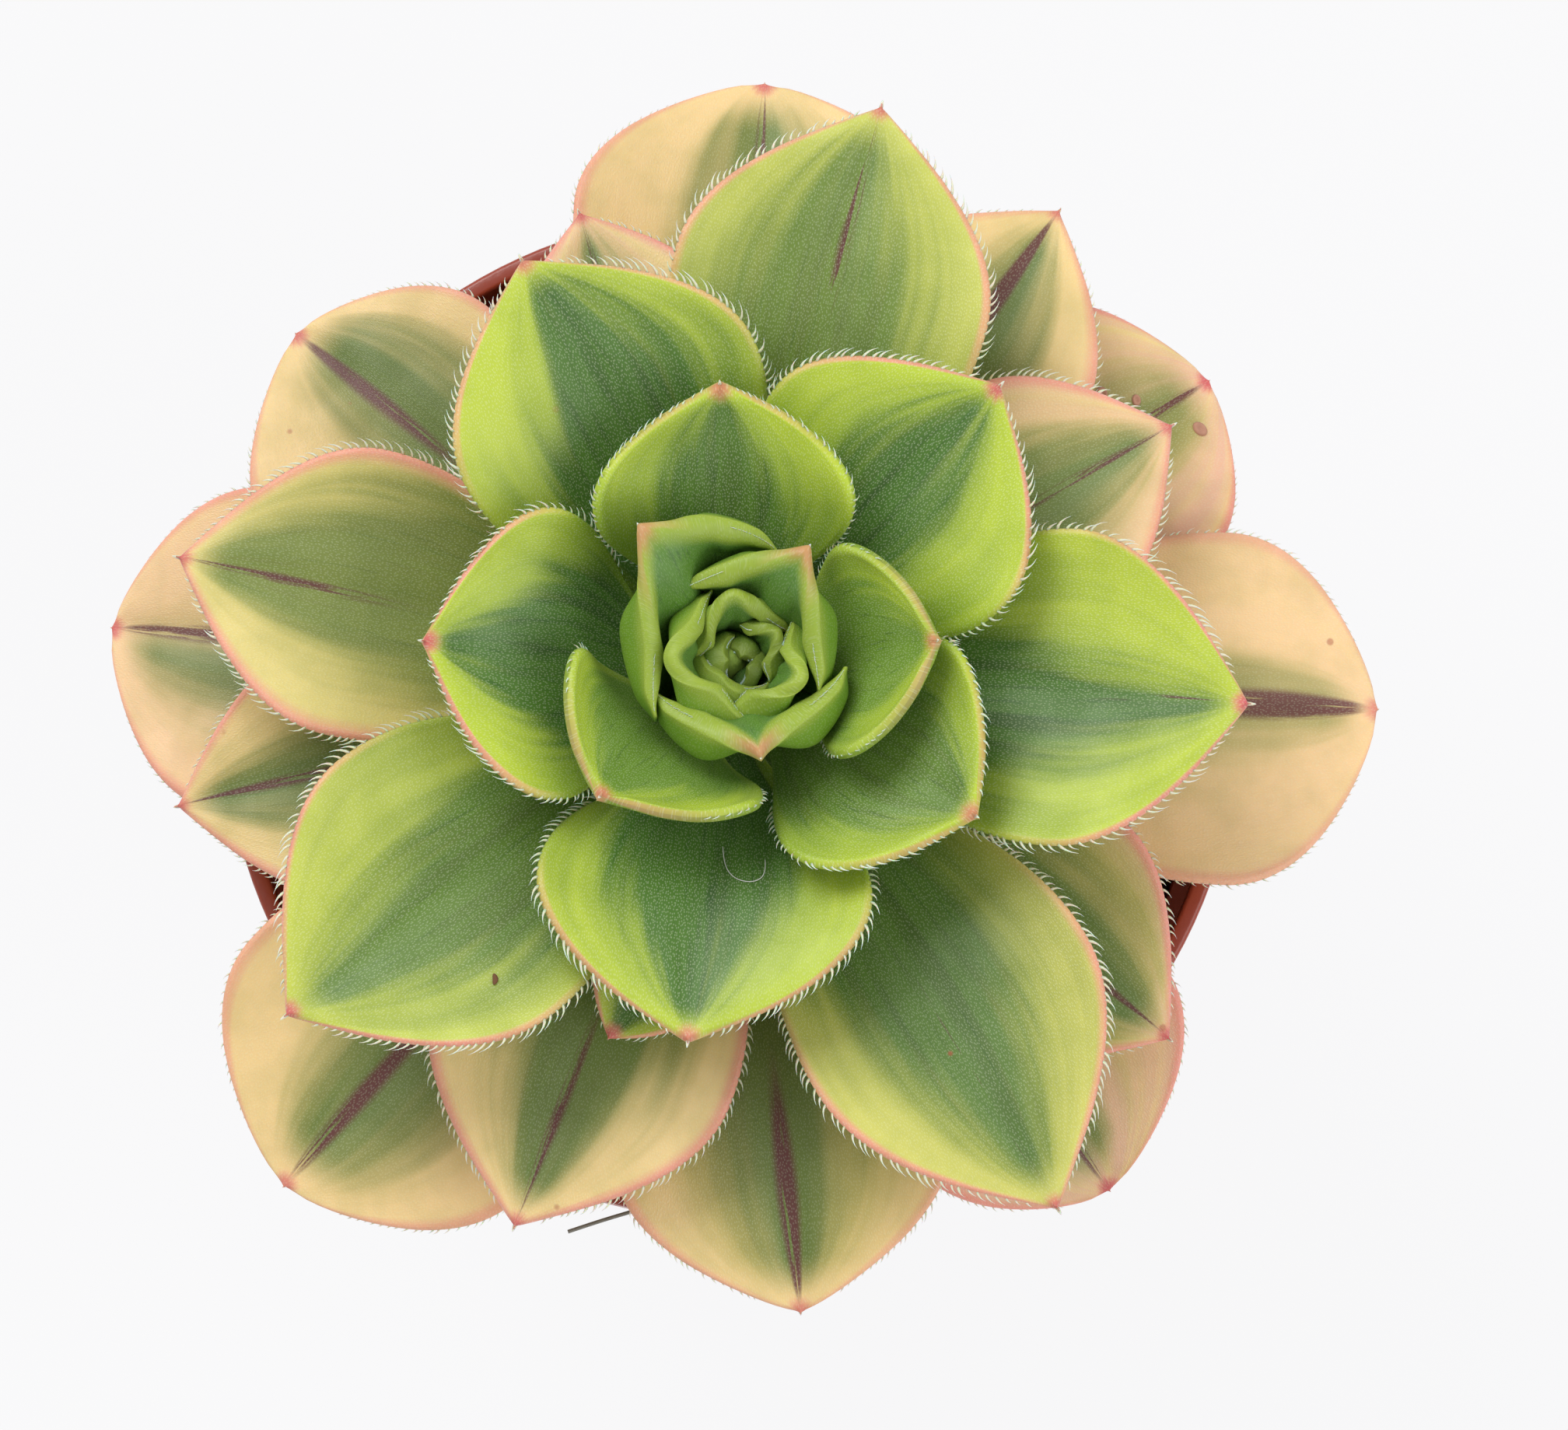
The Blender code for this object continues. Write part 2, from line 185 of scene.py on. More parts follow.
# name: azimuth, reach, tip height, half width, widest at, blunt,
#       tone (0 lime, 1 cream), green band half width, band shift, maroon, pink
openLeaves = {
    "heart_leaf_3": (2, 16.2, 35.0, 10.0, 0.60, 0.9, 0.02, 0.60, 0.00, 0.0, 0.5),
    "heart_leaf_4": (229.5, 15.4, 35.0, 11.0, 0.60, 0.9, 0.02, 0.60, 0.00, 0.0, 0.6),
    "upper_leaf_01": (92, 21.2, 34.0, 11.5, 0.60, 0.9, 0.04, 0.38, 0.00, 0.0, 0.6),
    "upper_leaf_02": (326, 23.4, 33.0, 11.5, 0.62, 0.9, 0.04, 0.62, 0.00, 0.0, 0.6),
    "upper_leaf_03": (178, 24.2, 33.0, 13.0, 0.62, 0.9, 0.06, 0.33, 0.00, 0.0, 0.9),
    "upper_leaf_04": (45, 30.5, 32.0, 13.5, 0.62, 0.9, 0.06, 0.22, 0.04, 0.0, 0.9),
    "upper_leaf_05": (264, 31.0, 31.0, 14.0, 0.62, 0.9, 0.08, 0.42, -0.05, 0.0, 0.7),
    "upper_leaf_06": (117.5, 36.1, 31.0, 13.5, 0.62, 0.9, 0.10, 0.44, -0.16, 0.0, 0.7),
    "upper_leaf_07": (355, 41.6, 29.0, 13.3, 0.64, 0.9, 0.10, 0.28, -0.10, 0.1, 1.0),
    "upper_leaf_08": (219, 45.3, 28.0, 13.8, 0.64, 0.9, 0.20, 0.42, 0.10, 0.0, 0.95),
    "upper_leaf_09": (75, 47.4, 26.0, 13.4, 0.66, 0.9, 0.30, 0.52, 0.05, 0.45, 0.8),
    "upper_leaf_10": (301, 50.9, 24.0, 13.6, 0.64, 0.9, 0.40, 0.42, 0.00, 0.1, 0.9),
    "upper_leaf_11": (168, 45.8, 21.0, 12.2, 0.66, 0.9, 0.66, 0.58, -0.12, 0.55, 0.9),
    "lower_leaf_01": (30, 41.7, 18.5, 11.0, 0.66, 0.9, 0.85, 0.55, 0.00, 0.5, 0.9),
    "lower_leaf_02": (248.6, 47.8, 16.0, 13.0, 0.66, 0.9, 0.90, 0.40, 0.00, 0.6, 0.9),
    "lower_leaf_03": (107.7, 41.4, 14.5, 10.0, 0.66, 0.9, 0.88, 0.30, 0.00, 0.5, 1.0),
    "lower_leaf_04": (321, 46.1, 13.0, 11.5, 0.66, 0.9, 0.78, 0.55, 0.00, 0.6, 1.0),
    "lower_leaf_05": (192, 46.5, 11.5, 11.0, 0.66, 0.9, 0.88, 0.40, 0.00, 0.7, 0.9),
    "lower_leaf_06": (56, 48.8, 10.5, 11.5, 0.68, 0.9, 0.90, 0.45, -0.10, 1.6, 0.8),
    "lower_leaf_07": (276.4, 51.3, 9.0, 14.0, 0.72, 0.75, 0.90, 0.32, 0.00, 1.2, 0.7),
    "lower_leaf_08": (140, 47.3, 8.0, 15.0, 0.74, 0.6, 0.93, 0.40, -0.15, 0.9, 0.8),
    "lower_leaf_09": (359, 53.5, 6.5, 15.6, 0.74, 0.6, 1.00, 0.06, 0.00, 1.7, 0.6),
    "lower_leaf_10": (227.7, 54.6, 5.5, 15.5, 0.74, 0.6, 0.93, 0.40, 0.05, 0.9, 0.7),
    "lower_leaf_11": (87, 52.4, 5.0, 15.4, 0.74, 0.6, 0.94, 0.32, -0.05, 0.4, 0.8),
    "lower_leaf_12": (307.5, 51.2, 4.0, 14.0, 0.74, 0.6, 0.95, 0.30, 0.00, 0.6, 1.0),
    "lower_leaf_13": (173, 52.0, 3.5, 15.0, 0.74, 0.6, 0.97, 0.22, 0.15, 0.8, 0.9),
    "lower_leaf_14": (34.4, 48.4, 3.0, 12.8, 0.76, 0.6, 0.88, 0.35, 0.00, 0.6, 1.0),
}

# Left and right halves' share of the width, by order, where they differ
lobes = {
    2: (0.95, 1.0), 3: (1.0, 0.95), 6: (1.0, 0.92), 9: (0.95, 1.05), 13: (1.0, 0.88),
    22: (1.0, 0.78), 23: (0.9, 1.0), 26: (1.05, 0.85), 27: (1.0, 0.85),
}

# Closed leaves, outermost first. Seen from above, a leaf is an outline with its margins folded in over it:
# azimuth, tip radius, tip height, belly radius, then for the left and the right flank
# how far round it reaches (degrees), its radius at the far end, how fast it falls to that,
# and how deep the margin folds in
closedLeaves = {
    "heart_leaf_1": (282.8, 8.5, 35.0, 0.0, (74, 8.6, 1.0, 1.9), (82, 7.0, 1.3, 1.8)),
    "heart_leaf_2": (127.2, 13.0, 35.6, 0.0, (88, 7.9, 2.5, 2.2), (58, 9.1, 0.8, 0.8)),
    "bud_leaf_1": (56.3, 10.4, 35.6, 0.0, (72, 7.1, 2.0, 0.9), (78, 6.95, 2.0, 1.7)),
    "bud_leaf_2": (182.0, 5.45, 34.8, 5.85, (105, 5.45, 1.0, 2.7), (73, 6.05, 1.0, 1.6)),
    "bud_leaf_3": (342.5, 5.65, 34.0, 6.0, (58, 5.8, 1.0, 1.9), (97, 5.1, 1.0, 2.7)),
    "bud_leaf_4": (93.0, 5.5, 33.2, 3.4, (87, 3.6, 1.0, 1.9), (64, 4.9, 0.7, 1.1)),
    "bud_leaf_5": (222.0, 1.5, 32.2, 3.7, (106, 2.9, 1.0, 0.0), (57, 2.7, 1.0, 0.0)),
    "bud_leaf_6": (35.0, 4.1, 32.4, 3.0, (52, 3.0, 1.0, 0.8), (67, 3.0, 0.8, 1.4)),
    "bud_leaf_7": (172.0, 0.6, 31.6, 2.45, (76, 1.6, 1.0, 0.0), (77, 2.2, 1.0, 0.0)),
    "bud_leaf_8": (60.0, 0.4, 31.0, 1.8, (72, 1.4, 1.0, 0.0), (72, 1.4, 1.0, 0.0)),
    "bud_leaf_9": (335.0, 0.8, 31.2, 2.1, (62, 1.6, 1.0, 0.0), (62, 1.8, 1.0, 0.0)),
}

sideShoot = {
    "azimuth": 264.0,
    "stalkR": 1.0,
    "stalk": ((5.4, 15.7), (10.0, 16.6), (18.6, 16.4), (18.6, 22.4)),
    "collar": 1.3,
    "firstNode": 19.0,
    "pitch": 0.75,
    "grid": (36, 28),
    "hair": 0.7,
    # azimuth, reach, tip height, half width
    "leaves": [
        (235.0, 13.6, 21.0, 4.6),
        (302.0, 9.6, 25.2, 3.6),
        (264.0, 7.0, 25.8, 2.7),
        (184.0, 6.0, 24.4, 2.6),
        (355.0, 5.4, 25.0, 2.4),
    ],
}


def stemRadius(height):
    top = plant["topNode"]
    radii = (plant["stemRim"], plant["stemTop"], plant["apex"])
    return along(height, (0, top, top + plant["apexRise"]), radii)


def lobe(v, leaf):
    # a leaf's left and right halves need not be equally wide
    return leaf["lobes"][0] if v > 0 else leaf["lobes"][1]


def halfWidth(u, leaf):
    foot = plant["footWidth"] * leaf["foot"]
    if u < leaf["widest"]:
        return foot + (leaf["width"] - foot) * math.sin(u / leaf["widest"] * math.pi / 2) ** 1.5
    s = (u - leaf["widest"]) / (1 - leaf["widest"])
    # the body closes a little short of the tip, and a spur with hollow flanks carries on
    body = leaf["width"] * max(1 - (s / 0.985) ** 2, 0) ** leaf["blunt"] * (1 - 0.3 * leaf["blunt"] * s**3)
    spur = leaf["spur"] * (max(1 - u, 0) / 0.1) ** 1.25 if u > 0.9 else leaf["spur"]
    return max(math.hypot(body, min(spur, body + leaf["spur"]) * smoothStep(0.6, 0.95, u)), 0.06)


def midrib(u, leaf):
    r0, z0 = leaf["start"]
    r3, z3 = leaf["end"]
    arm = 0.38 * math.hypot(r3 - r0, z3 - z0)
    base, tip = leaf["baseRise"], leaf["tipRise"]
    rising = (r0 + arm * math.cos(base), z0 + arm * math.sin(base))
    falling = (r3 - arm * math.cos(tip), z3 - arm * math.sin(tip))
    return bezier(u, ((r0, z0), rising, falling, (r3, z3)))


def roundedEdge(v, width, edge):
    # thickness share near a margin, falling to nothing in a half circle
    reach = clamp(edge / 2 / max(width, 0.05), 0.01, 0.9)
    inward = (abs(v) - (1 - reach)) / reach
    return math.sqrt(max(1 - clamp(inward) ** 2, 0.0))


def leafPoint(u, v, side, leaf):
    (r, z), (tr, tz) = midrib(u, leaf)
    width = halfWidth(u, leaf)
    part = lobe(v, leaf) ** min(u * 2, 1)
    fill = 0.25 + 0.75 * math.sin(min(u / leaf["widest"], 1.0) * math.pi / 2)
    arc = max(leaf["cup"] * fill * width / leaf["width"], 0.001)
    swell = 0.55 + 0.45 * math.sin(u**0.8 * math.pi)
    edge = leaf["edge"] * min(1.0, width / 2.0)
    thick = ((leaf["thickness"] * swell - edge) * (1 - v * v) + edge) * roundedEdge(v, width, edge)
    thick = max(thick, 0.02)
    radius = width / arc
    # shallow channel along the midrib and a slow ripple along the margins
    channel = -leaf["channel"] * math.exp(-((v * width / 1.6) ** 2)) * smoothStep(0.1, 0.5, u)
    seed = leaf["seed"]
    ripple = leaf["ripple"] * noise.noise(Vector((u * 5, v * 1.5, seed * 3.7))) * abs(v) ** 1.5
    arc, width = arc * part, width * part
    lift = radius * (1 - math.cos(arc * v)) + side * thick / 2 * math.cos(arc * v) + channel + ripple
    across = (radius - side * thick / 2) * math.sin(arc * v)
    out, up = r - tz * lift, z + tr * lift
    cosAz, sinAz = math.cos(leaf["azimuth"]), math.sin(leaf["azimuth"])
    x = leaf["axis"][0] + out * cosAz - across * sinAz
    y = leaf["axis"][1] + out * sinAz + across * cosAz
    return Vector((x, y, plant["rimZ"] + up)) * mm


def budLine(u, phi, flank, bud):
    # one line from foot to margin, in the upright plane at this angle from the tip
    wrap, end, fall, fold = flank
    turn = bud["turn"]
    x = (math.hypot(min(abs(phi) / wrap, 1.0), turn) - turn) / (math.hypot(1.0, turn) - turn)
    outline = end + (bud["tipR"] - end) * (1 - x) ** fall
    margin = outline - fold * math.sin(math.pi * x ** bud["tuck"])
    belly = max(outline, bud["belly"])
    footR, footZ = bud["start"]
    top = bud["tipZ"] - bud["drop"] * x**1.6 - 0.25 * (belly - margin)
    rise = math.sin(min(u / 0.62, 1.0) * math.pi / 2)
    lean = 1 - smoothStep(0.0, 0.45, x)
    r = footR + (belly - footR) * (rise + (u**1.35 - rise) * lean)
    r -= (belly - margin) * smoothStep(0.55, 1.08, u) * 1.06
    return r, footZ + (top - footZ) * (u + (0.12 + 0.1 * lean) * math.sin(u * math.pi))


def budPoint(u, v, side, bud):
    flank = bud["left"] if v > 0 else bud["right"]
    phi = v * flank[0]
    r, z = budLine(u, phi, flank, bud)
    low = budLine(max(u - 0.02, 0.0), phi, flank, bud)
    high = budLine(min(u + 0.02, 1.0), phi, flank, bud)
    dr, dz = high[0] - low[0], high[1] - low[1]
    size = max(math.hypot(dr, dz), 1e-6)
    edge = bud["edge"]
    reach = edge / 2 / bud["length"]
    rounded = math.sqrt(max(1 - clamp((u - (1 - reach)) / reach) ** 2, 0.0))
    thick = edge * rounded * (1 - 0.75 * smoothStep(0.8, 1.0, abs(v))) * (0.7 + 0.3 * u)
    thick = max(thick, 0.02)
    r -= side * thick / 2 * dz / size
    z += side * thick / 2 * dr / size
    if side > 0:
        # below the rim the inner face swells until it meets the next leaf in
        depth = (1 - u) * bud["length"]
        share = (0.35 + 0.65 * smoothStep(0.0, 0.4, abs(v))) * (1 - smoothStep(0.5, 0.92, abs(v)))
        r = max(r - bud["fill"] * share * (1 - math.exp(-depth / bud["fill"])), 0.15)
    angle = bud["azimuth"] + math.radians(phi)
    lean = min(u / 0.5, 1.0)
    x0, y0 = (c * lean for c in plant["budCentre"])
    return Vector((x0 + r * math.cos(angle), y0 + r * math.sin(angle), plant["rimZ"] + z)) * mm


def leafEdge(u, v, leaf):
    # mm from the margin
    if "left" in leaf:
        return (1 - u) * leaf["length"]
    return halfWidth(u, leaf) * (1 - abs(v)) + max(u - 0.9, 0) * 3


def leafPlace(u, v, leaf):
    # mm along and across the blade
    if "left" in leaf:
        girth = max(leaf["belly"], leaf["tipR"] * 0.7)
        return u * leaf["length"], math.radians(v * leaf["left"][0]) * girth
    return u * math.dist(leaf["start"], leaf["end"]), v * halfWidth(u, leaf)


def slab(point, shape, grid):
    # a grid extruded into a thin box, then every vertex moved onto the leaf
    bm = bmesh.new()
    uLayer = bm.verts.layers.float.new("leafU")
    vLayer = bm.verts.layers.float.new("leafV")
    topLayer = bm.verts.layers.float.new("leafTop")
    edgeLayer = bm.verts.layers.float.new("leafEdge")
    alongLayer = bm.verts.layers.float.new("leafAlong")
    acrossLayer = bm.verts.layers.float.new("leafAcross")
    bmesh.ops.create_grid(bm, x_segments=grid[0], y_segments=grid[1], size=1.0)
    sheet = bmesh.ops.extrude_face_region(bm, geom=bm.faces[:] + bm.edges[:])
    raised = {item for item in sheet["geom"] if isinstance(item, bmesh.types.BMVert)}
    closed = "left" in shape
    for vert in bm.verts:
        side = 1 if vert in raised else -1
        s, t = clamp((vert.co.x + 1) / 2), clamp(vert.co.y, -1, 1)
        u, v = 1 - (1 - s) ** 1.5, t if closed else math.sin(t * math.pi / 2)
        vert.co = point(u, v, side, shape)
        vert[uLayer] = u * (1 - 0.12 * abs(v)) if closed else u
        vert[vLayer] = v
        vert[topLayer] = side
        vert[edgeLayer] = leafEdge(u, v, shape)
        vert[alongLayer], vert[acrossLayer] = leafPlace(u, v, shape)
    turnOutward(bm)
    return bm


def openLeafShape(order, row):
    azimuth, reach, tipZ, width, widest, blunt = row[:6]
    node = plant["topNode"] - plant["pitch"] * order

    def pick(key):
        return along(order, habit["at"], habit[key])

    return {
        "axis": (0.0, 0.0),
        "azimuth": math.radians(azimuth),
        "start": (stemRadius(node) + plant["leafGap"], node),
        "end": (reach, tipZ),
        "baseRise": math.radians(pick("baseRise")),
        "tipRise": math.radians(pick("tipRise")),
        "cup": math.radians(pick("cup")),
        "thickness": pick("thickness"),
        "edge": pick("edge"),
        "width": width,
        "widest": widest,
        "blunt": blunt,
        "foot": 1.0,
        "lobes": lobes.get(order, (1.0, 1.0)),
        "spur": 1.5,
        "channel": 0.35,
        "ripple": 0.5,
        "seed": order + 1,
    }


def closedLeafShape(order, row):
    azimuth, tipR, tipZ, belly, left, right = row
    node = plant["topNode"] + max(0.55 * order - 0.5, -0.2)
    return {
        "azimuth": math.radians(azimuth),
        "start": (stemRadius(node) + plant["leafGap"], node),
        "tipR": tipR,
        "tipZ": tipZ,
        "belly": belly,
        "left": left,
        "right": right,
        "drop": 3.2 if order < 6 else 1.5,  # a margin's far end lies this much lower than the tip
        "length": 10.0 - 0.7 * order,
        "edge": 1.4 - 0.075 * order,
        "fill": 3.2 * 0.78**order,  # how far the inner face swells
        "tuck": 0.75 if order < 3 else 1.0,  # below 1 the margin folds in nearer the tip
        "turn": 0.01 if order < 3 else 0.16,  # how softly the margin turns at the tip
    }


def shootLeafShape(order, row):
    azimuth, reach, tipZ, width = row
    angle = math.radians(sideShoot["azimuth"])
    headR = sideShoot["stalk"][-1][0]
    return {
        "axis": (headR * math.cos(angle), headR * math.sin(angle)),
        "azimuth": math.radians(azimuth),
        "start": (sideShoot["collar"], sideShoot["firstNode"] + sideShoot["pitch"] * order),
        "end": (reach, tipZ),
        "baseRise": math.radians(22 + 12 * order),
        "tipRise": math.radians(8 + 14 * order),
        "cup": math.radians(34),
        "thickness": 1.0,
        "edge": 0.5,
        "width": width,
        "widest": 0.6,
        "blunt": 0.9,
        "foot": 0.5,
        "lobes": (1.0, 1.0),
        "spur": 0.5,
        "channel": 0.15,
        "ripple": 0.2,
        "seed": order + 60,
    }


# Leaf skin: thin waxy living tissue, so light bleeds through it and it has a soft sheen

skin = {
    "lime": "#B5CC35",
    "limeDeep": "#7FA51E",
    "cream": "#F2D09A",
    "peach": "#EDC28E",
    "haloYoung": "#8AA63A",
    "haloOld": "#B7A95C",
    "green": "#446F2B",
    "greenDark": "#2E5227",
    "budInner": "#5C8A33",
    "bloom": "#608355",
    "budOuter": "#70962A",
    # painted highlight along the closed leaves' ridges
    "budRimHighlight": "#9BB042",
    # painted shade colour that the innermost closed leaves are darkened toward
    "depth": "#1E3A10",
    "pink": "#E9998B",
    "red": "#C94F5B",
    "maroon": "#67303A",
    "underYoung": "#A9C43C",
    "underOld": "#EBC493",
    "blush": "#E6B79E",
    "blemish": "#A9503F",
    "paintedGlint": "#E8F0D0",
    "scatter": 0.0016,  # metres light travels in the tissue
    "poreSize": 0.19,  # mm between pores
}


def leafSkin(name, look):
    material, tree, shader = newMaterial(name)
    u, v, top, edge, leafAlong, leafAcross = [
        addNode(tree, "Attribute", attribute_name=name).outputs["Fac"]
        for name in ("leafU", "leafV", "leafTop", "leafEdge", "leafAlong", "leafAcross")
    ]
    place = addNode(tree, "TexCoord").outputs["Object"]

    def calc(operation, a, b=0.0, c=0.0, limit=False):
        return addNode(tree, "Math", {0: a, 1: b, 2: c}, operation=operation, use_clamp=limit).outputs[0]

    def ramp(value, low, high, start=0.0, stop=1.0):
        limits = {"Value": value, "From Min": low, "From Max": high, "To Min": start, "To Max": stop}
        return addNode(tree, "MapRange", limits, interpolation_type="SMOOTHSTEP").outputs[0]

    def blend(share, first, second, mode="MIX"):
        colours = {0: share, 6: first, 7: second}
        return addNode(tree, "Mix", colours, data_type="RGBA", blend_type=mode).outputs[2]

    def streaks(lengthScale, widthScale, detail, offset):
        # noise drawn out from foot to tip
        x, y = calc("MULTIPLY", u, lengthScale), calc("MULTIPLY", v, widthScale)
        spot = addNode(tree, "CombineXYZ", {"X": x, "Y": y, "Z": look["seed"] * 7.3 + offset}).outputs[0]
        grain = {"Vector": spot, "Scale": 1.0, "Detail": detail, "Roughness": 0.55}
        return addNode(tree, "TexNoise", grain).outputs["Fac"]

    broad = streaks(1.6, 4.0, 2.0, 0.0)
    fine = streaks(2.0, 11.0, 3.0, 11.0)
    hairline = streaks(6.0, 30.0, 4.0, 23.0)
    absV = calc("ABSOLUTE", calc("SUBTRACT", v, look["shift"]))
    wander = calc("MULTIPLY", calc("SUBTRACT", broad, 0.5), 0.7)
    ragged = calc("MULTIPLY", calc("SUBTRACT", fine, 0.5), 0.42 * look["comb"])
    spread = calc("ADD", calc("ADD", absV, wander), ragged)
    # the green middle is wide near the foot and narrows toward the tip
    bandEdge = ramp(u, 0.15, 0.95, look["band"] + look["footGreen"], look["band"] * 0.55)
    band = ramp(calc("SUBTRACT", bandEdge, spread), -look["soft"], look["soft"] * 0.7)
    halo = ramp(calc("SUBTRACT", calc("ADD", bandEdge, look["halo"]), spread), -0.4, 0.3)
    tipFade = ramp(u, 0.90, 0.985, 1.0, 0.0)
    band = calc("MULTIPLY", band, tipFade)

    side = blend(look["tone"], skin["lime"], skin["cream"])
    deep = blend(look["tone"], skin["limeDeep"], skin["peach"])
    ground = blend(ramp(calc("ADD", u, wander), 0.3, 0.75, 1.0, 0.0), side, deep)
    if look["blush"] > 0:
        ground = blend(calc("MULTIPLY", ramp(broad, 0.25, 0.6), look["blush"]), ground, skin["blush"])
    between = blend(look["tone"], skin["haloYoung"], skin["haloOld"])
    ground = blend(calc("MULTIPLY", halo, calc("MULTIPLY", tipFade, 0.8)), ground, between)
    middle = blend(ramp(fine, 0.42, 0.68, 0.0, look["comb"]), skin["green"], skin["greenDark"])
    if look["rim"] > 0:
        middle = blend(0.75, middle, skin["budInner"])
    # a grey wax lies on the outer half of the green
    bloomShare = calc("MULTIPLY", ramp(u, 0.5, 0.9), calc("MULTIPLY", ramp(broad, 0.3, 0.7), look["bloom"]))
    middle = blend(bloomShare, middle, skin["bloom"])
    colour = blend(calc("MULTIPLY", band, look["bandDepth"]), ground, middle)
    # darker hairlines run from foot to tip inside the green
    lineShare = calc("MULTIPLY", ramp(hairline, 0.55, 0.72), calc("MULTIPLY", band, 0.45 * look["comb"]))
    colour = blend(lineShare, colour, skin["greenDark"])

    # mm from the margin, made a little uneven
    rimNoise = calc("MULTIPLY", calc("SUBTRACT", fine, 0.5), 0.2 if look["closed"] else 0.8)
    rimAway = calc("ADD", edge, rimNoise)
    if look["rim"] > 0:
        # closed leaves have a thicker rim, lightened by a painted highlight along the ridge
        rimHighlightShare = calc("MULTIPLY", ramp(rimAway, 1.9, 0.5), look["rim"])
        colour = blend(rimHighlightShare, colour, skin["budRimHighlight"])

    pinkEdge = ramp(rimAway, look["pinkWidth"], 0.12)
    # mm from the tip, over the blade
    short = calc("SUBTRACT", look["length"], leafAlong)
    squares = calc("ADD", calc("MULTIPLY", short, short), calc("MULTIPLY", leafAcross, leafAcross))
    tipAway = calc("ADD", calc("SQRT", squares), rimNoise)
    pinkTip = ramp(tipAway, 1.0 if look["rim"] > 0 else 1.7, 0.3)
    if look["closed"]:
        pinkReach = ramp(calc("ABSOLUTE", v), 0.35, 0.02)
    else:
        pinkReach = ramp(u, look["pinkStart"], look["pinkStart"] + 0.35)
    pinkMost = calc("MAXIMUM", calc("MULTIPLY", pinkEdge, pinkReach), pinkTip)
    pinkShare = calc("MULTIPLY", pinkMost, look["pink"], limit=True)
    colour = blend(pinkShare, colour, skin["pink"])
    colour = blend(calc("MULTIPLY", ramp(tipAway, 1.5, 0.3), 0.8 * look["pink"]), colour, skin["red"])

    if look["maroon"] > 0:
        # dark stripe down the midrib, broken into dashes on the younger leaves
        ribEdge = ramp(u, 0.45, 0.85, 0.012, 0.018 + 0.04 * look["maroon"])
        whole = min(look["maroon"], 1.0)
        ribAway = calc("ABSOLUTE", calc("ADD", calc("MULTIPLY", ragged, 0.16), v))
        rib = ramp(calc("SUBTRACT", ribEdge, ribAway), -0.03, 0.03)
        reach = calc("MULTIPLY", ramp(u, 0.5, 0.68), ramp(u, 0.95, 0.99, 1.0, 0.0))
        broken = ramp(hairline, 0.62 - 0.33 * whole, 0.70 - 0.30 * whole)
        ribShare = calc("MULTIPLY", calc("MULTIPLY", rib, reach), calc("MULTIPLY", broken, 0.9))
        colour = blend(ribShare, colour, skin["maroon"])

    under = blend(look["tone"], skin["budOuter"] if look["rim"] > 0 else skin["underYoung"], skin["underOld"])
    if look["rim"] > 0:
        # the same painted highlight along the ridge, on the outer face
        under = blend(calc("MULTIPLY", ramp(rimAway, 2.2, 0.4), look["rim"]), under, skin["budRimHighlight"])
    under = blend(pinkShare, under, skin["pink"])
    colour = blend(ramp(top, -0.6, 0.0), under, colour)

    # painted glints: tiny pores, longer than wide, are painted pale over the whole blade, standing for the
    # light they catch
    blade = addNode(tree, "CombineXYZ", {"X": calc("MULTIPLY", leafAlong, 0.6), "Y": leafAcross}).outputs[0]
    cellular = {"Vector": blade, "Scale": 1 / skin["poreSize"], "Randomness": 0.8}
    pores = addNode(tree, "TexVoronoi", cellular, voronoi_dimensions="2D").outputs["Distance"]
    glint = calc("MULTIPLY", ramp(pores, 0.36, 0.12), look["glint"])
    colour = blend(glint, colour, skin["paintedGlint"])
    patchy = addNode(tree, "TexNoise", {"Vector": place, "Scale": 260.0, "Detail": 3.0}).outputs["Fac"]
    colour = blend(ramp(patchy, 0.35, 0.75, 0.0, 0.16), colour, skin["limeDeep"], "MULTIPLY")

    # painted shade: the inner closed leaves are darkened, standing for the shade the outer leaves cast on
    # them
    if look["depth"] > 0:
        colour = blend(look["depth"], colour, skin["depth"])
    # a few small red blemishes
    cells = addNode(tree, "TexVoronoi", {"Vector": place, "Scale": 1 / (4.5 * mm)})
    chosen = ramp(addNode(tree, "SeparateColor", {"Color": cells.outputs["Color"]}).outputs[0], 0.78, 0.8)
    spots = calc("MULTIPLY", chosen, look["spots"])
    blemish = calc("MULTIPLY", ramp(cells.outputs["Distance"], 0.085, 0.045), spots)
    colour = blend(blemish, colour, skin["blemish"])
    tree.links.new(colour, shader.inputs["Base Color"])
    height = calc("ADD", calc("MULTIPLY", ramp(pores, 0.5, 0.0), 0.05), calc("MULTIPLY", hairline, 0.10))
    bump = addNode(tree, "Bump", {"Height": height, "Strength": 0.5, "Distance": 0.0006})
    tree.links.new(bump.outputs[0], shader.inputs["Normal"])
    tree.links.new(ramp(patchy, 0.3, 0.7, 0.40, 0.52), shader.inputs["Roughness"])
    shader.inputs["IOR"].default_value = 1.42
    shader.inputs["Subsurface Weight"].default_value = 0.28
    shader.inputs["Subsurface Radius"].default_value = (1.0, 0.85, 0.3)
    shader.inputs["Subsurface Scale"].default_value = skin["scatter"]
    return material


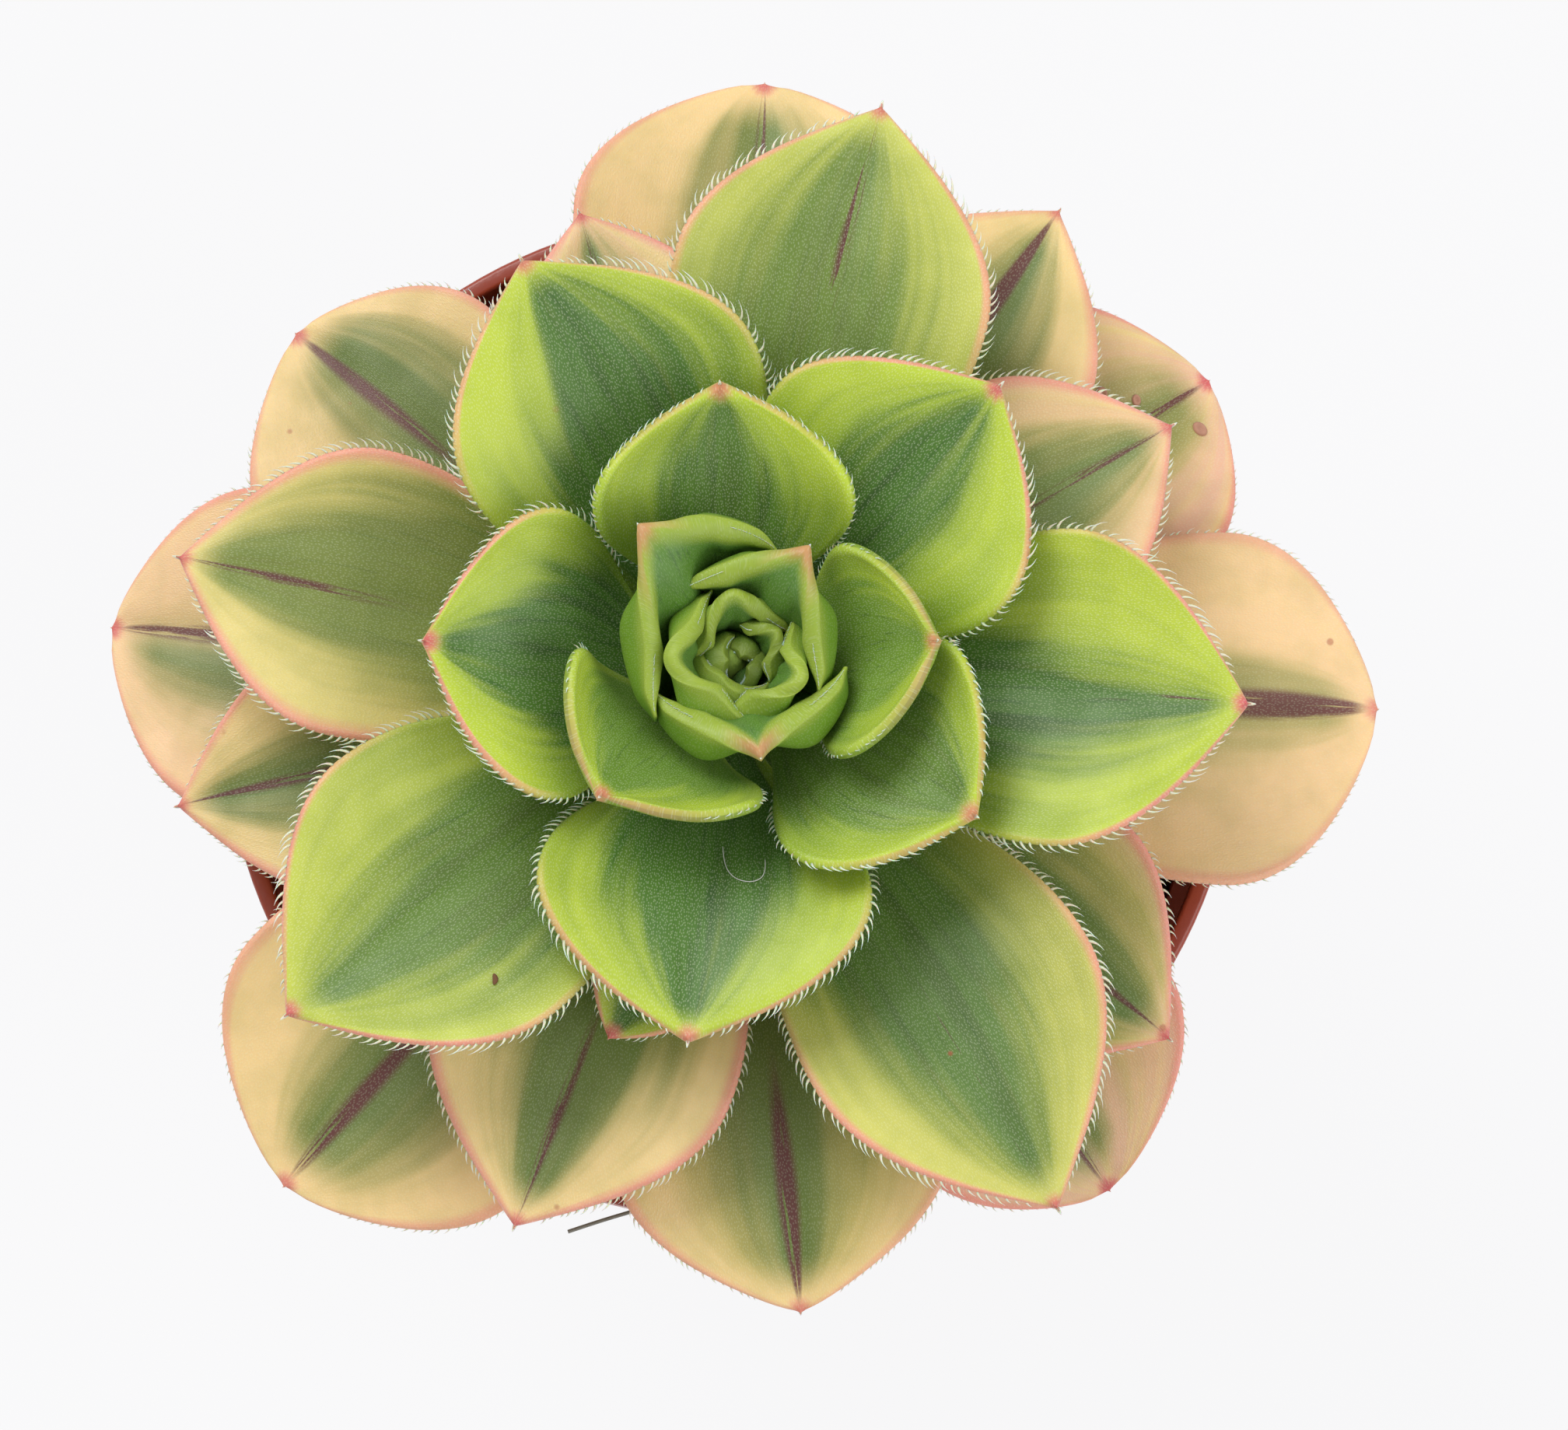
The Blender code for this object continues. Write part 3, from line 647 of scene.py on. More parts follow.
def lookOf(seed, tone, band, shift, maroon, pink, length, **changes):
    # cream leaves have softer, paler middles and wider pink margins than lime ones
    # footGreen: more green at the foot, halo: yellow-green beside the band, soft: how blurred its edge is,
    # comb: how streaky it is, glint: how bright the painted glints on the pores are, depth: how deep it
    # stands in shade, painted as darker colour
    look = {
        "seed": seed, "tone": tone, "band": band, "shift": shift, "maroon": maroon, "pink": pink,
        "length": length, "footGreen": 0.4, "bandDepth": 0.92 - 0.14 * tone, "bloom": 0.5, "rim": 0.0,
        "glint": 0.22 - 0.1 * tone, "closed": False, "depth": 0.0, "blush": 0.0,
        "spots": 0.15 + 0.4 * tone, "soft": 0.2 + 0.16 * tone, "halo": 0.25 - 0.12 * tone,
        "pinkWidth": 0.4 + 1.1 * tone, "pinkStart": 0.54 - 0.4 * tone, "comb": 1.0 - 0.75 * tone,
    }
    look.update(changes)
    return look


# Where one leaf differs from what its row gives
looks = {
    "heart_leaf_3": {"bandDepth": 0.6, "pinkStart": 0.7},
    "heart_leaf_4": {"bandDepth": 0.65, "pinkStart": 0.7},
    "upper_leaf_01": {"bandDepth": 0.8, "halo": 0.35, "pinkStart": 0.7},
    "upper_leaf_02": {"bandDepth": 0.68, "halo": 0.35, "bloom": 0.7, "pinkStart": 0.65},
    "upper_leaf_03": {"footGreen": 0.55},
    "upper_leaf_04": {"footGreen": 0.3},
    "upper_leaf_05": {"halo": 0.3},
    "upper_leaf_06": {"seed": 41.5},
    "upper_leaf_08": {"bandDepth": 0.75, "halo": 0.35, "bloom": 0.7},
    "upper_leaf_09": {"bandDepth": 0.66, "halo": 0.3, "spots": 0.6},
    "upper_leaf_10": {"spots": 0.8, "halo": 0.3},
    "upper_leaf_11": {"pinkWidth": 1.6, "pinkStart": 0.1, "bandDepth": 0.62},
    "lower_leaf_01": {"blush": 0.5, "bandDepth": 0.75},
    "lower_leaf_03": {"blush": 0.5},
    "lower_leaf_04": {"halo": 0.4, "blush": 0.5},
    "lower_leaf_07": {"halo": 0.4},
    "lower_leaf_09": {"blush": 0.15},
    "lower_leaf_12": {"blush": 0.8},
    "lower_leaf_13": {"blush": 0.3},
    "lower_leaf_14": {"blush": 0.9, "bandDepth": 0.6, "spots": 1.0},
}


# Margin hairs: clear hooked bristles, milky where the light catches them

hairs = {
    "spacing": 0.72,  # mm along the margin
    "thick": 0.135,  # mm radius at the root
    "sides": 4,
    "steps": 4,
    "colour": "#F6F3E6",
    "root": "#E6E4C6",
}


def hairMaterial():
    # glassy horn: nearly white, lit from within, a shade greener at the root
    material, tree, shader = newMaterial("clear_bristle")
    share = addNode(tree, "Attribute", attribute_name="hairShare").outputs["Fac"]
    tint = addNode(tree, "Mix", {0: share, 6: hairs["root"], 7: hairs["colour"]}, data_type="RGBA")
    tree.links.new(tint.outputs[2], shader.inputs["Base Color"])
    shader.inputs["Roughness"].default_value = 0.35
    shader.inputs["Subsurface Weight"].default_value = 0.6
    shader.inputs["Subsurface Scale"].default_value = 0.0006
    shader.inputs["Transmission Weight"].default_value = 0.15
    return material


def bristleRings(count):
    # one straight taper of rings on the origin, doubled until there are enough
    bm = bmesh.new()
    bmesh.ops.create_circle(bm, segments=hairs["sides"], radius=1.0, cap_ends=True)
    edges = bm.edges[:]
    for step in range(1, hairs["steps"] + 1):
        grown = bmesh.ops.extrude_edge_only(bm, edges=edges)["geom"]
        edges = [item for item in grown if isinstance(item, bmesh.types.BMEdge)]
        for item in grown:
            if isinstance(item, bmesh.types.BMVert):
                item.co.z = step / hairs["steps"]
    bmesh.ops.contextual_create(bm, geom=edges)
    turnOutward(bm)
    each = len(bm.verts)
    while len(bm.verts) < each * count:
        bmesh.ops.duplicate(bm, geom=bm.verts[:] + bm.edges[:] + bm.faces[:])
    bm.verts.ensure_lookup_table()
    bmesh.ops.delete(bm, geom=bm.verts[each * count:], context="VERTS")
    return bm, each


def growBristles(places):
    # every ring follows its bristle's curve, which starts outward and hooks toward the leaf's tip
    bm, each = bristleRings(len(places))
    layer = bm.verts.layers.float.new("hairShare")
    for index, vert in enumerate(bm.verts):
        root, outward, onward, length, thick = places[index // each]
        s = vert.co.z
        hook = outward * (1.05 * s - 0.35 * s * s) + onward * (0.1 * s + 0.6 * s * s)
        centre = root + hook * length * mm
        lift = outward.cross(onward).normalized()
        wide = lift.cross(outward)
        radius = thick * mm * (1 - 0.88 * s**1.4)
        vert[layer] = s
        vert.co = centre + (wide * vert.co.x + lift * vert.co.y) * radius
    return bm


def fringe(shape, grown, seed, start=0.22, stop=0.97):
    # bristles down both margins of an open leaf, shorter near its foot and tip
    rng = random.Random(seed)
    places = []
    for v in (-1, 1):
        u = start
        while u < stop:
            here = leafPoint(u, v, 0, shape)
            tangent = leafPoint(min(u + 0.01, 1.0), v, 0, shape) - here
            pace = tangent.length / 0.01  # metres of margin in the whole of u
            tangent.normalize()
            outward = here - leafPoint(u, v * 0.96, 0, shape)
            outward = (outward - tangent * outward.dot(tangent)).normalized()
            fade = smoothStep(start - 0.02, start + 0.12, u) * (1 - 0.55 * smoothStep(0.85, 1.0, u))
            lean = Vector([rng.uniform(-0.15, 0.15) for _ in range(3)])
            way = (outward + tangent * rng.uniform(0.1, 0.5) + lean).normalized()
            length = grown * fade * rng.uniform(0.65, 1.25)
            thick = hairs["thick"] * min(1.0, 0.3 + grown * 0.7) * rng.uniform(0.8, 1.15)
            places.append((here - outward * 0.08 * mm, way, tangent, length, thick))
            u += hairs["spacing"] * mm / max(pace, 0.004) * rng.uniform(0.7, 1.3)
    return places


def tipSpine(point, shape, length):
    # a leaf ends in one clear spine that carries its midrib on
    tip = point(1.0, 0.0, 0, shape)
    onward = (tip - point(0.96, 0.0, 0, shape)).normalized()
    rise = Vector((0, 0, 0.2))
    return [(tip - onward * 0.35 * mm, onward, rise, length, 0.17)]


def rimTeeth(shape, grown, seed):
    # the far ends of a closed leaf's margins carry short teeth that lean toward the tip
    rng = random.Random(seed)
    places = []
    for way in (-1, 1):
        v = 0.62
        while v < 0.98:
            here = budPoint(1.0, v * way, 0, shape)
            ahead = (budPoint(1.0, (v - 0.01) * way, 0, shape) - here).normalized()
            outward = (here - budPoint(0.97, v * way, 0, shape)).normalized()
            outward = (outward - ahead * outward.dot(ahead)).normalized()
            length = grown * rng.uniform(0.5, 1.3)
            leaning = (outward + ahead * 0.6).normalized()
            places.append((here - outward * 0.05 * mm, leaning, ahead, length, 0.05))
            v += rng.uniform(0.015, 0.035)
    return places


def makeLeaves():
    bristle = hairMaterial()
    fringes = {kind: [] for kind in ("heart", "upper", "lower", "bud", "shoot")}
    for order, (name, row) in enumerate(openLeaves.items(), 2):
        kind = name.split("_")[0]
        shape = openLeafShape(order, row)
        tone, band, shift, maroon, pink = row[6:]
        heart = kind == "heart"
        length = math.dist(shape["start"], shape["end"])
        look = lookOf(order + 1, tone, band, shift, maroon, pink, length, rim=0.5 if heart else 0.0)
        look.update(looks.get(name, {}))
        blade = slab(leafPoint, shape, plant["grid"])
        newPiece(name + "_blade", blade, leafSkin(name + "_skin", look), (name,))
        grown = along(order, habit["at"], habit["hair"])
        fringes[kind] += fringe(shape, grown, order, stop=0.8 if heart else 0.97)
        fringes[kind] += tipSpine(leafPoint, shape, 0.3 + 0.6 * grown)
    print("open leaves made")

    for order, (name, row) in enumerate(closedLeaves.items()):
        shape = closedLeafShape(order, row)
        kind = name.split("_")[0]
        # painted shade: the leaves stand in one another's shade, and the innermost are painted darkest
        look = lookOf(order + 40, 0.0, 1.2, 0.0, 0.0, 0.4 if order < 3 else 0.0, shape["length"],
                      rim=0.9, glint=0.1, closed=True, halo=0.5, spots=0.0, depth=clamp(0.1 * (order - 4)))
        blade = slab(budPoint, shape, plant["budGrid"])
        newPiece(name + "_blade", blade, leafSkin(name + "_skin", look), (name,))
        fringes[kind] += rimTeeth(shape, 0.4 if order < 3 else 0.26, order + 100)
        fringes[kind] += tipSpine(budPoint, shape, 0.6 if order < 3 else 0.4)
    print("closed leaves made")

    for order, row in enumerate(sideShoot["leaves"]):
        name = f"shoot_leaf_{order + 1}"
        shape = shootLeafShape(order, row)
        look = lookOf(order + 70, 0.15, 0.5, 0.0, 0.0, 0.9, math.dist(shape["start"], shape["end"]))
        blade = slab(leafPoint, shape, sideShoot["grid"])
        newPiece(name + "_blade", blade, leafSkin(name + "_skin", look), (name,))
        fringes["shoot"] += fringe(shape, sideShoot["hair"], order + 200)
    for kind, places in fringes.items():
        newPiece(kind + "_bristles", growBristles(places), bristle)
    print("side shoot and bristles made")


makeLeaves()


# Pot: thin moulded plastic, turned, with a flat lip over a plain band

pot = {
    "rimR": 42.5,
    "rimZ": 68.0,
    "lip": 1.5,  # width of the lip's flat top
    "lipRound": 0.4,
    "stepZ": 59.5,
    "bandR": 42.1,
    "shoulderR": 40.8,
    "baseR": 29.6,
    "wall": 1.1,
    "floor": 1.4,
    "footRise": 0.9,  # the base is hollow by this much inside its foot ring
    "drainR": 2.6,
    "drainRing": 24.0,
    "drains": 6,
    "steps": 144,
    "colour": "#9A3F2A",
    "dust": "#B3614A",
}


def arcPoints(centreR, centreZ, radius, start, stop, count):
    angles = [math.radians(start + (stop - start) * i / count) for i in range(count + 1)]
    return [(centreR + radius * math.cos(a), centreZ + radius * math.sin(a)) for a in angles]


def spun(bm, profile, steps):
    verts = [bm.verts.new((max(r, 0.0) * mm, 0, z * mm)) for r, z in profile]
    edges = [bm.edges.new(pair) for pair in zip(verts, verts[1:])]
    bmesh.ops.spin(bm, geom=verts + edges, cent=(0, 0, 0), axis=(0, 0, 1), angle=math.tau, steps=steps,
                   use_merge=True)
    bmesh.ops.remove_doubles(bm, verts=bm.verts[:], dist=0.00001)
    turnOutward(bm)


def plasticMaterial():
    # thin glossy plastic the colour of fired clay, a little dusty
    material, tree, shader = newMaterial("gloss_plastic")
    place = addNode(tree, "TexCoord").outputs["Object"]
    cloud = addNode(tree, "TexNoise", {"Vector": place, "Scale": 90.0, "Detail": 4.0}).outputs["Fac"]
    runs = addNode(tree, "Mapping", {"Vector": place, "Scale": (260.0, 260.0, 40.0)}).outputs[0]
    drips = addNode(tree, "TexNoise", {"Vector": runs, "Scale": 1.0, "Detail": 3.0}).outputs["Fac"]
    dusty = addNode(tree, "Math", {0: cloud, 1: drips}, operation="MULTIPLY").outputs[0]
    limits = {"Value": dusty, "From Min": 0.2, "From Max": 0.42, "To Max": 0.2}
    share = addNode(tree, "MapRange", limits).outputs[0]
    tint = addNode(tree, "Mix", {0: share, 6: pot["colour"], 7: pot["dust"]}, data_type="RGBA")
    tree.links.new(tint.outputs[2], shader.inputs["Base Color"])
    rough = addNode(tree, "MapRange", {"Value": cloud, "To Min": 0.24, "To Max": 0.42})
    tree.links.new(rough.outputs[0], shader.inputs["Roughness"])
    grain = addNode(tree, "TexNoise", {"Vector": place, "Scale": 1400.0, "Detail": 2.0}).outputs["Fac"]
    bump = addNode(tree, "Bump", {"Height": grain, "Strength": 0.15, "Distance": 0.0002})
    tree.links.new(bump.outputs[0], shader.inputs["Normal"])
    shader.inputs["Subsurface Weight"].default_value = 0.05
    shader.inputs["Subsurface Scale"].default_value = 0.001
    return material


def potProfile():
    # from the middle of the base, up the outside, over the lip and down the inside to the floor
    lip, lipRound, rimR, rimZ = pot["lip"], pot["lipRound"], pot["rimR"], pot["rimZ"]
    wall, base, foot = pot["wall"], pot["baseR"], pot["footRise"]
    outer = [(0.0, foot), (base - 3.0, foot), (base - 2.6, 0.0), (base - 0.6, 0.0)]
    outer += arcPoints(base - 0.6, 0.6, 0.6, -90, -8, 4)
    outer += [(pot["shoulderR"] - 0.3, pot["stepZ"] - 1.2), (pot["shoulderR"], pot["stepZ"] - 0.4)]
    outer += arcPoints(pot["bandR"] - 0.35, pot["stepZ"] + 0.35, 0.35, -90, 0, 4)
    outer += [(rimR - 0.15, rimZ - 3.0)]
    outer += arcPoints(rimR - lipRound, rimZ - lipRound, lipRound, 0, 90, 5)
    outer += arcPoints(rimR - lip + lipRound, rimZ - lipRound, lipRound, 90, 180, 5)
    inner = [(rimR - wall - 0.45, rimZ - 2.2), (pot["bandR"] - wall, pot["stepZ"] + 0.6)]
    inner += [(pot["shoulderR"] - wall, pot["stepZ"] - 0.4), (base - wall + 0.5, pot["floor"] + 1.0)]
    inner += arcPoints(base - wall - 0.5, pot["floor"] + 1.0, 1.0, 0, -90, 4) + [(0.0, pot["floor"])]
    return outer + inner


def makePot():
    bm = bmesh.new()
    spun(bm, potProfile(), pot["steps"])
    shell = bpy.data.meshes.new("pot_shell")
    bm.to_mesh(shell)
    bm.free()
    body = bpy.data.objects.new("pot_body", shell)
    bpy.context.scene.collection.objects.link(body)
    # drain holes are punched through the floor
    bm = bmesh.new()
    for index in range(pot["drains"]):
        angle = math.tau * index / pot["drains"]
        spot = Vector((math.cos(angle), math.sin(angle), 0)) * pot["drainRing"] * mm
        bmesh.ops.create_cone(bm, cap_ends=True, segments=32, radius1=pot["drainR"] * mm,
                              radius2=pot["drainR"] * mm, depth=8 * mm, matrix=Matrix.Translation(spot))
    punch = bpy.data.meshes.new("punch")
    bm.to_mesh(punch)
    bm.free()
    cutter = bpy.data.objects.new("punch", punch)
    bpy.context.scene.collection.objects.link(cutter)
    cut = body.modifiers.new("drains", "BOOLEAN")
    cut.object = cutter
    cut.solver = "EXACT"
    graph = bpy.context.evaluated_depsgraph_get()
    bm = bmesh.new()
    bm.from_mesh(bpy.data.meshes.new_from_object(body.evaluated_get(graph)))
    bpy.data.objects.remove(cutter)
    bpy.data.objects.remove(body)
    piece = newPiece("pot_moulding", bm, plasticMaterial(), ("pot",))
    piece.data.set_sharp_from_angle(angle=math.radians(40))


makePot()
print("pot made")


# Soil, bark bits and grit

soil = {
    "z": 59.5,
    "crown": 1.2,
    "edgeR": 39.3,
    "edgeZ": 58.5,
    "baseR": 28.0,
    "baseZ": 1.8,
    "rings": 46,
    "steps": 150,
    "bits": 340,
    "grains": 70,
    "peat": ("#3B281B", "#1B120D"),  # light and dark
    "bark": ("#5A3B25", "#24160E"),
    "grit": ("#D8D2C4", "#9C9586"),
}


def soilHeight(x, y):
    r, edgeR = math.hypot(x, y), soil["edgeR"]
    levels = (soil["z"] + soil["crown"] - 0.3, soil["z"] + 0.5, soil["edgeZ"])
    level = along(r, (5.0, edgeR * 0.6, edgeR), levels)
    if r >= edgeR:
        return level
    lumps = noise.fractal(Vector((x, y, 3.0)) * 0.35, 0.8, 2.1, 4)
    return level + 0.45 * lumps * smoothStep(edgeR, edgeR - 1.5, r)


def earthMaterial(name, colours, rough):
    # damp peat and bark: dark, matt, crumbly
    material, tree, shader = newMaterial(name)
    place = addNode(tree, "TexCoord").outputs["Object"]
    grain = {"Vector": place, "Scale": 900.0, "Detail": 6.0, "Roughness": 0.7}
    crumbs = addNode(tree, "TexNoise", grain).outputs["Fac"]
    share = addNode(tree, "MapRange", {"Value": crumbs, "From Min": 0.35, "From Max": 0.7}).outputs[0]
    tint = addNode(tree, "Mix", {0: share, 6: colours[1], 7: colours[0]}, data_type="RGBA")
    tree.links.new(tint.outputs[2], shader.inputs["Base Color"])
    bump = addNode(tree, "Bump", {"Height": crumbs, "Strength": 0.8, "Distance": 0.0008})
    tree.links.new(bump.outputs[0], shader.inputs["Normal"])
    shader.inputs["Roughness"].default_value = rough
    return material


def makeSoil():
    rng = random.Random(5)
    bm = bmesh.new()
    rings = [(0.0, soil["baseZ"]), (soil["baseR"], soil["baseZ"]), (soil["edgeR"], soil["edgeZ"])]
    count = soil["rings"]
    rings += [(soil["edgeR"] * (1 - i / count), soil["edgeZ"]) for i in range(1, count + 1)]
    spun(bm, rings, soil["steps"])
    for vert in bm.verts:
        x, y, z = vert.co / mm
        if z > soil["edgeZ"] - 0.5 and math.hypot(x, y) < soil["edgeR"] - 0.2:
            vert.co.z = soilHeight(x, y) * mm
    newPiece("soil_surface", bm, earthMaterial("damp_peat", soil["peat"], 0.95), ("soil",))

    def scatter(name, count, material, size, flat):
        # broken lumps lying on the soil, each turned and tipped its own way
        bm = bmesh.new()
        for _ in range(count):
            r, angle = math.sqrt(rng.uniform(0.03, 0.93)) * soil["edgeR"], rng.uniform(0, math.tau)
            x, y = r * math.cos(angle), r * math.sin(angle)
            long = rng.uniform(*size)
            turn = Matrix.Rotation(rng.uniform(0, math.tau), 4, "Z")
            turn = turn @ Matrix.Rotation(rng.uniform(-0.5, 0.5), 4, "X")
            stretch = Matrix.Diagonal((long, long * rng.uniform(0.35, 0.9), long * flat, 1))
            spot = Matrix.Translation(Vector((x, y, soilHeight(x, y) + long * flat * 0.3)))
            made = bmesh.ops.create_icosphere(bm, subdivisions=1, radius=0.5)["verts"]
            move = spot @ turn @ stretch
            for vert in made:
                vert.co = (move @ (vert.co * rng.uniform(0.75, 1.25))) * mm
        newPiece(name, bm, material, smooth=False)

    bark = earthMaterial("bark_bits", soil["bark"], 0.85)
    scatter("bark_bits", soil["bits"], bark, (0.8, 3.2), 0.35)
    grit = earthMaterial("pumice_grit", soil["grit"], 0.9)
    scatter("grit_grains", soil["grains"], grit, (0.7, 1.8), 0.8)
    print("soil made")


makeSoil()


# Stem, side shoot's stalk

wood = {
    "soilR": 5.0,
    "foot": 48.5,
    "socketTop": 60.7,  # the stem keeps its soil girth up to here
    "rings": 150,
    "steps": 72,
    "scars": 14,
    "scarPitch": 0.8,
    "greenFrom": 0.070,  # metres up, where the bark turns green toward the crown
    "greenTo": 0.090,
    "stalkSides": 20,
    "stalkRings": 40,
    "stem": ("#A08A6C", "#5A4634", "#7F9A3A"),  # ridges, hollows, young green
    "stalk": ("#8E9A4E", "#5F6B33", "#86A03C"),
}


def woodMaterial(name, colours):
    # corky young bark: pale ridges, dark scars, greener toward the crown
    light, dark, green = colours
    material, tree, shader = newMaterial(name)
    place = addNode(tree, "TexCoord").outputs["Object"]
    cork = {"Vector": place, "Scale": 500.0, "Detail": 6.0, "Roughness": 0.65}
    grain = addNode(tree, "TexNoise", cork).outputs["Fac"]
    share = addNode(tree, "MapRange", {"Value": grain, "From Min": 0.35, "From Max": 0.65}).outputs[0]
    tint = addNode(tree, "Mix", {0: share, 6: dark, 7: light}, data_type="RGBA").outputs[2]
    height = addNode(tree, "SeparateXYZ", {"Vector": place}).outputs["Z"]
    limits = {"Value": height, "From Min": wood["greenFrom"], "From Max": wood["greenTo"]}
    upward = addNode(tree, "MapRange", limits).outputs[0]
    leafy = addNode(tree, "Mix", {0: upward, 6: tint, 7: green}, data_type="RGBA")
    tree.links.new(leafy.outputs[2], shader.inputs["Base Color"])
    bump = addNode(tree, "Bump", {"Height": grain, "Strength": 0.6, "Distance": 0.0005})
    tree.links.new(bump.outputs[0], shader.inputs["Normal"])
    shader.inputs["Roughness"].default_value = 0.75
    return material


def stemGirth(z):
    if z > plant["rimZ"]:
        return stemRadius(z - plant["rimZ"])
    return along(z, (wood["socketTop"], plant["rimZ"]), (wood["soilR"], plant["stemRim"]))


def makeStem():
    top = plant["rimZ"] + plant["topNode"] + plant["apexRise"]
    bm = bmesh.new()
    heights = [wood["foot"] + (top - wood["foot"]) * i / wood["rings"] for i in range(wood["rings"] + 1)]
    profile = [(0.0, heights[0])] + [(stemGirth(z), z) for z in heights] + [(0.0, top + 0.4)]
    spun(bm, profile, wood["steps"])
    for vert in bm.verts:
        x, y, z = vert.co / mm
        r = math.hypot(x, y)
        if r < 0.5:
            continue
        # old leaf scars: one low shelf per lost leaf, each a golden angle on from the last
        angle = math.atan2(y, x)
        bulge = 0.0
        for scar in range(wood["scars"]):
            scarZ = plant["rimZ"] + 1.0 - scar * wood["scarPitch"]
            away = math.remainder(angle - math.radians(137.5 * (29 + scar)), math.tau)
            above = z - scarZ + 0.3 * away * away
            bulge += 0.35 * math.exp(-((away / 0.7) ** 2)) * math.exp(-((above / 0.35) ** 2))
        rough = 0.14 * noise.fractal(Vector((x, y, z * 0.6)) * 0.8, 0.7, 2.0, 4)
        vert.co.x *= 1 + (bulge + rough) / r
        vert.co.y *= 1 + (bulge + rough) / r
    newPiece("stem_bark", bm, woodMaterial("corky_bark", wood["stem"]), ("stem",))


def makeStalk():
    # rings along a curve that leaves the stem, runs out level and turns up
    bm = bmesh.new()
    sides, count = wood["stalkSides"], wood["stalkRings"]
    ring = bmesh.ops.create_circle(bm, segments=sides, radius=1.0, cap_ends=True)["verts"]
    edges = list({edge for vert in ring for edge in vert.link_edges})
    rings = [ring]
    for _ in range(count):
        grown = bmesh.ops.extrude_edge_only(bm, edges=edges)["geom"]
        edges = [item for item in grown if isinstance(item, bmesh.types.BMEdge)]
        rings.append([item for item in grown if isinstance(item, bmesh.types.BMVert)])
    bmesh.ops.contextual_create(bm, geom=edges)
    angle = math.radians(sideShoot["azimuth"])
    outward = Vector((math.cos(angle), math.sin(angle), 0))
    aside = Vector((-math.sin(angle), math.cos(angle), 0))
    for step, ring in enumerate(rings):
        (r, z), (tr, tz) = bezier(step / count, sideShoot["stalk"])
        swell = sideShoot["stalkR"] * (1 + 0.06 * math.sin(step / count * 60))
        for vert in ring:
            a, b = vert.co.x * swell, vert.co.y * swell
            vert.co = outward * (r - a * tz) + aside * b
            vert.co.z = plant["rimZ"] + z + a * tr
            vert.co *= mm
    turnOutward(bm)
    bark = woodMaterial("young_bark", wood["stalk"])
    newPiece("shoot_stalk_bark", bm, bark, ("shoot_stalk",))


makeStem()
makeStalk()
print("stem and stalk made")


# Small finds: a dry root over the rim, a husk and a stray fibre lying on leaves, healed scars on one leaf

finds = {
    "rootColour": "#9A9890",
    "fibreColour": "#E9E9E4",
    "huskColour": "#7A5233",
    "scarColour": "#C9957C",
    "root": [(-7.0, -41.6, 67.6), (-9.2, -42.3, 68.4), (-11.4, -43.0, 68.7), (-13.5, -43.7, 68.6)],
    "rootThick": 0.16,
    # on a leaf: shares of its length and half width
    "fibreOn": "upper_leaf_05",
    "fibre": [(0.42, 0.09), (0.48, 0.10), (0.53, 0.17), (0.54, 0.29), (0.51, 0.37), (0.46, 0.37)],
    "fibreThick": 0.035,
    "huskOn": "upper_leaf_08",
    "husk": (0.67, 0.62),
    "huskSize": (0.22, 0.5, 0.14),
    "scarsOn": "lower_leaf_14",
    "scars": [(0.80, 0.30, 0.6), (0.85, 0.15, 0.5), (0.92, -0.38, 0.7)],  # and radius in mm
}


def onLeaf(name, u, v, lift):
    # a point lift mm over the blade, and which way is up there
    shape = openLeafShape(2 + list(openLeaves).index(name), openLeaves[name])
    here = leafPoint(u, v, 1, shape)
    onward = leafPoint(u + 0.01, v, 1, shape) - here
    sideways = leafPoint(u, v + 0.01, 1, shape) - here
    up = onward.cross(sideways).normalized()
    if up.z < 0:
        up.negate()
    return here + up * lift * mm, up


def plainMaterial(name, colour, rough):
    # dead plant stuff: one colour, mottled darker by a fine grain
    material, tree, shader = newMaterial(name)
    place = addNode(tree, "TexCoord").outputs["Object"]
    grain = addNode(tree, "TexNoise", {"Vector": place, "Scale": 1500.0, "Detail": 3.0}).outputs["Fac"]
    darker = tuple(c * 0.6 for c in toLinear(colour)[:3]) + (1.0,)
    shade = addNode(tree, "Mix", {0: grain, 6: colour, 7: darker}, data_type="RGBA")
    tree.links.new(shade.outputs[2], shader.inputs["Base Color"])
    shader.inputs["Roughness"].default_value = rough
    return material


def thread(name, path, thick, material):
    curve = bpy.data.curves.new(name, "CURVE")
    curve.dimensions = "3D"
    curve.bevel_depth = thick * mm
    curve.bevel_resolution = 2
    curve.use_fill_caps = True
    line = curve.splines.new("NURBS")
    line.points.add(len(path) - 1)
    line.use_endpoint_u = True
    line.order_u = 3
    for point, spot in zip(line.points, path):
        point.co = (*spot, 1.0)
    made = bpy.data.objects.new(name, curve)
    bpy.context.scene.collection.objects.link(made)
    graph = bpy.context.evaluated_depsgraph_get()
    bm = bmesh.new()
    bm.from_mesh(bpy.data.meshes.new_from_object(made.evaluated_get(graph)))
    bpy.data.objects.remove(made)
    # the end caps come as loose faces
    bmesh.ops.remove_doubles(bm, verts=bm.verts[:], dist=1e-6)
    turnOutward(bm)
    newPiece(name, bm, material)


def crumb(bm, spot, up, size, shapeVert):
    # a small ball pressed to shape and laid on its spot
    turn = up.to_track_quat("Z", "Y").to_matrix()
    for vert in bmesh.ops.create_uvsphere(bm, u_segments=20, v_segments=12, radius=1.0)["verts"]:
        x, y, z = shapeVert(vert.co)
        vert.co = spot + turn @ Vector((x * size[0], y * size[1], z * size[2])) * mm


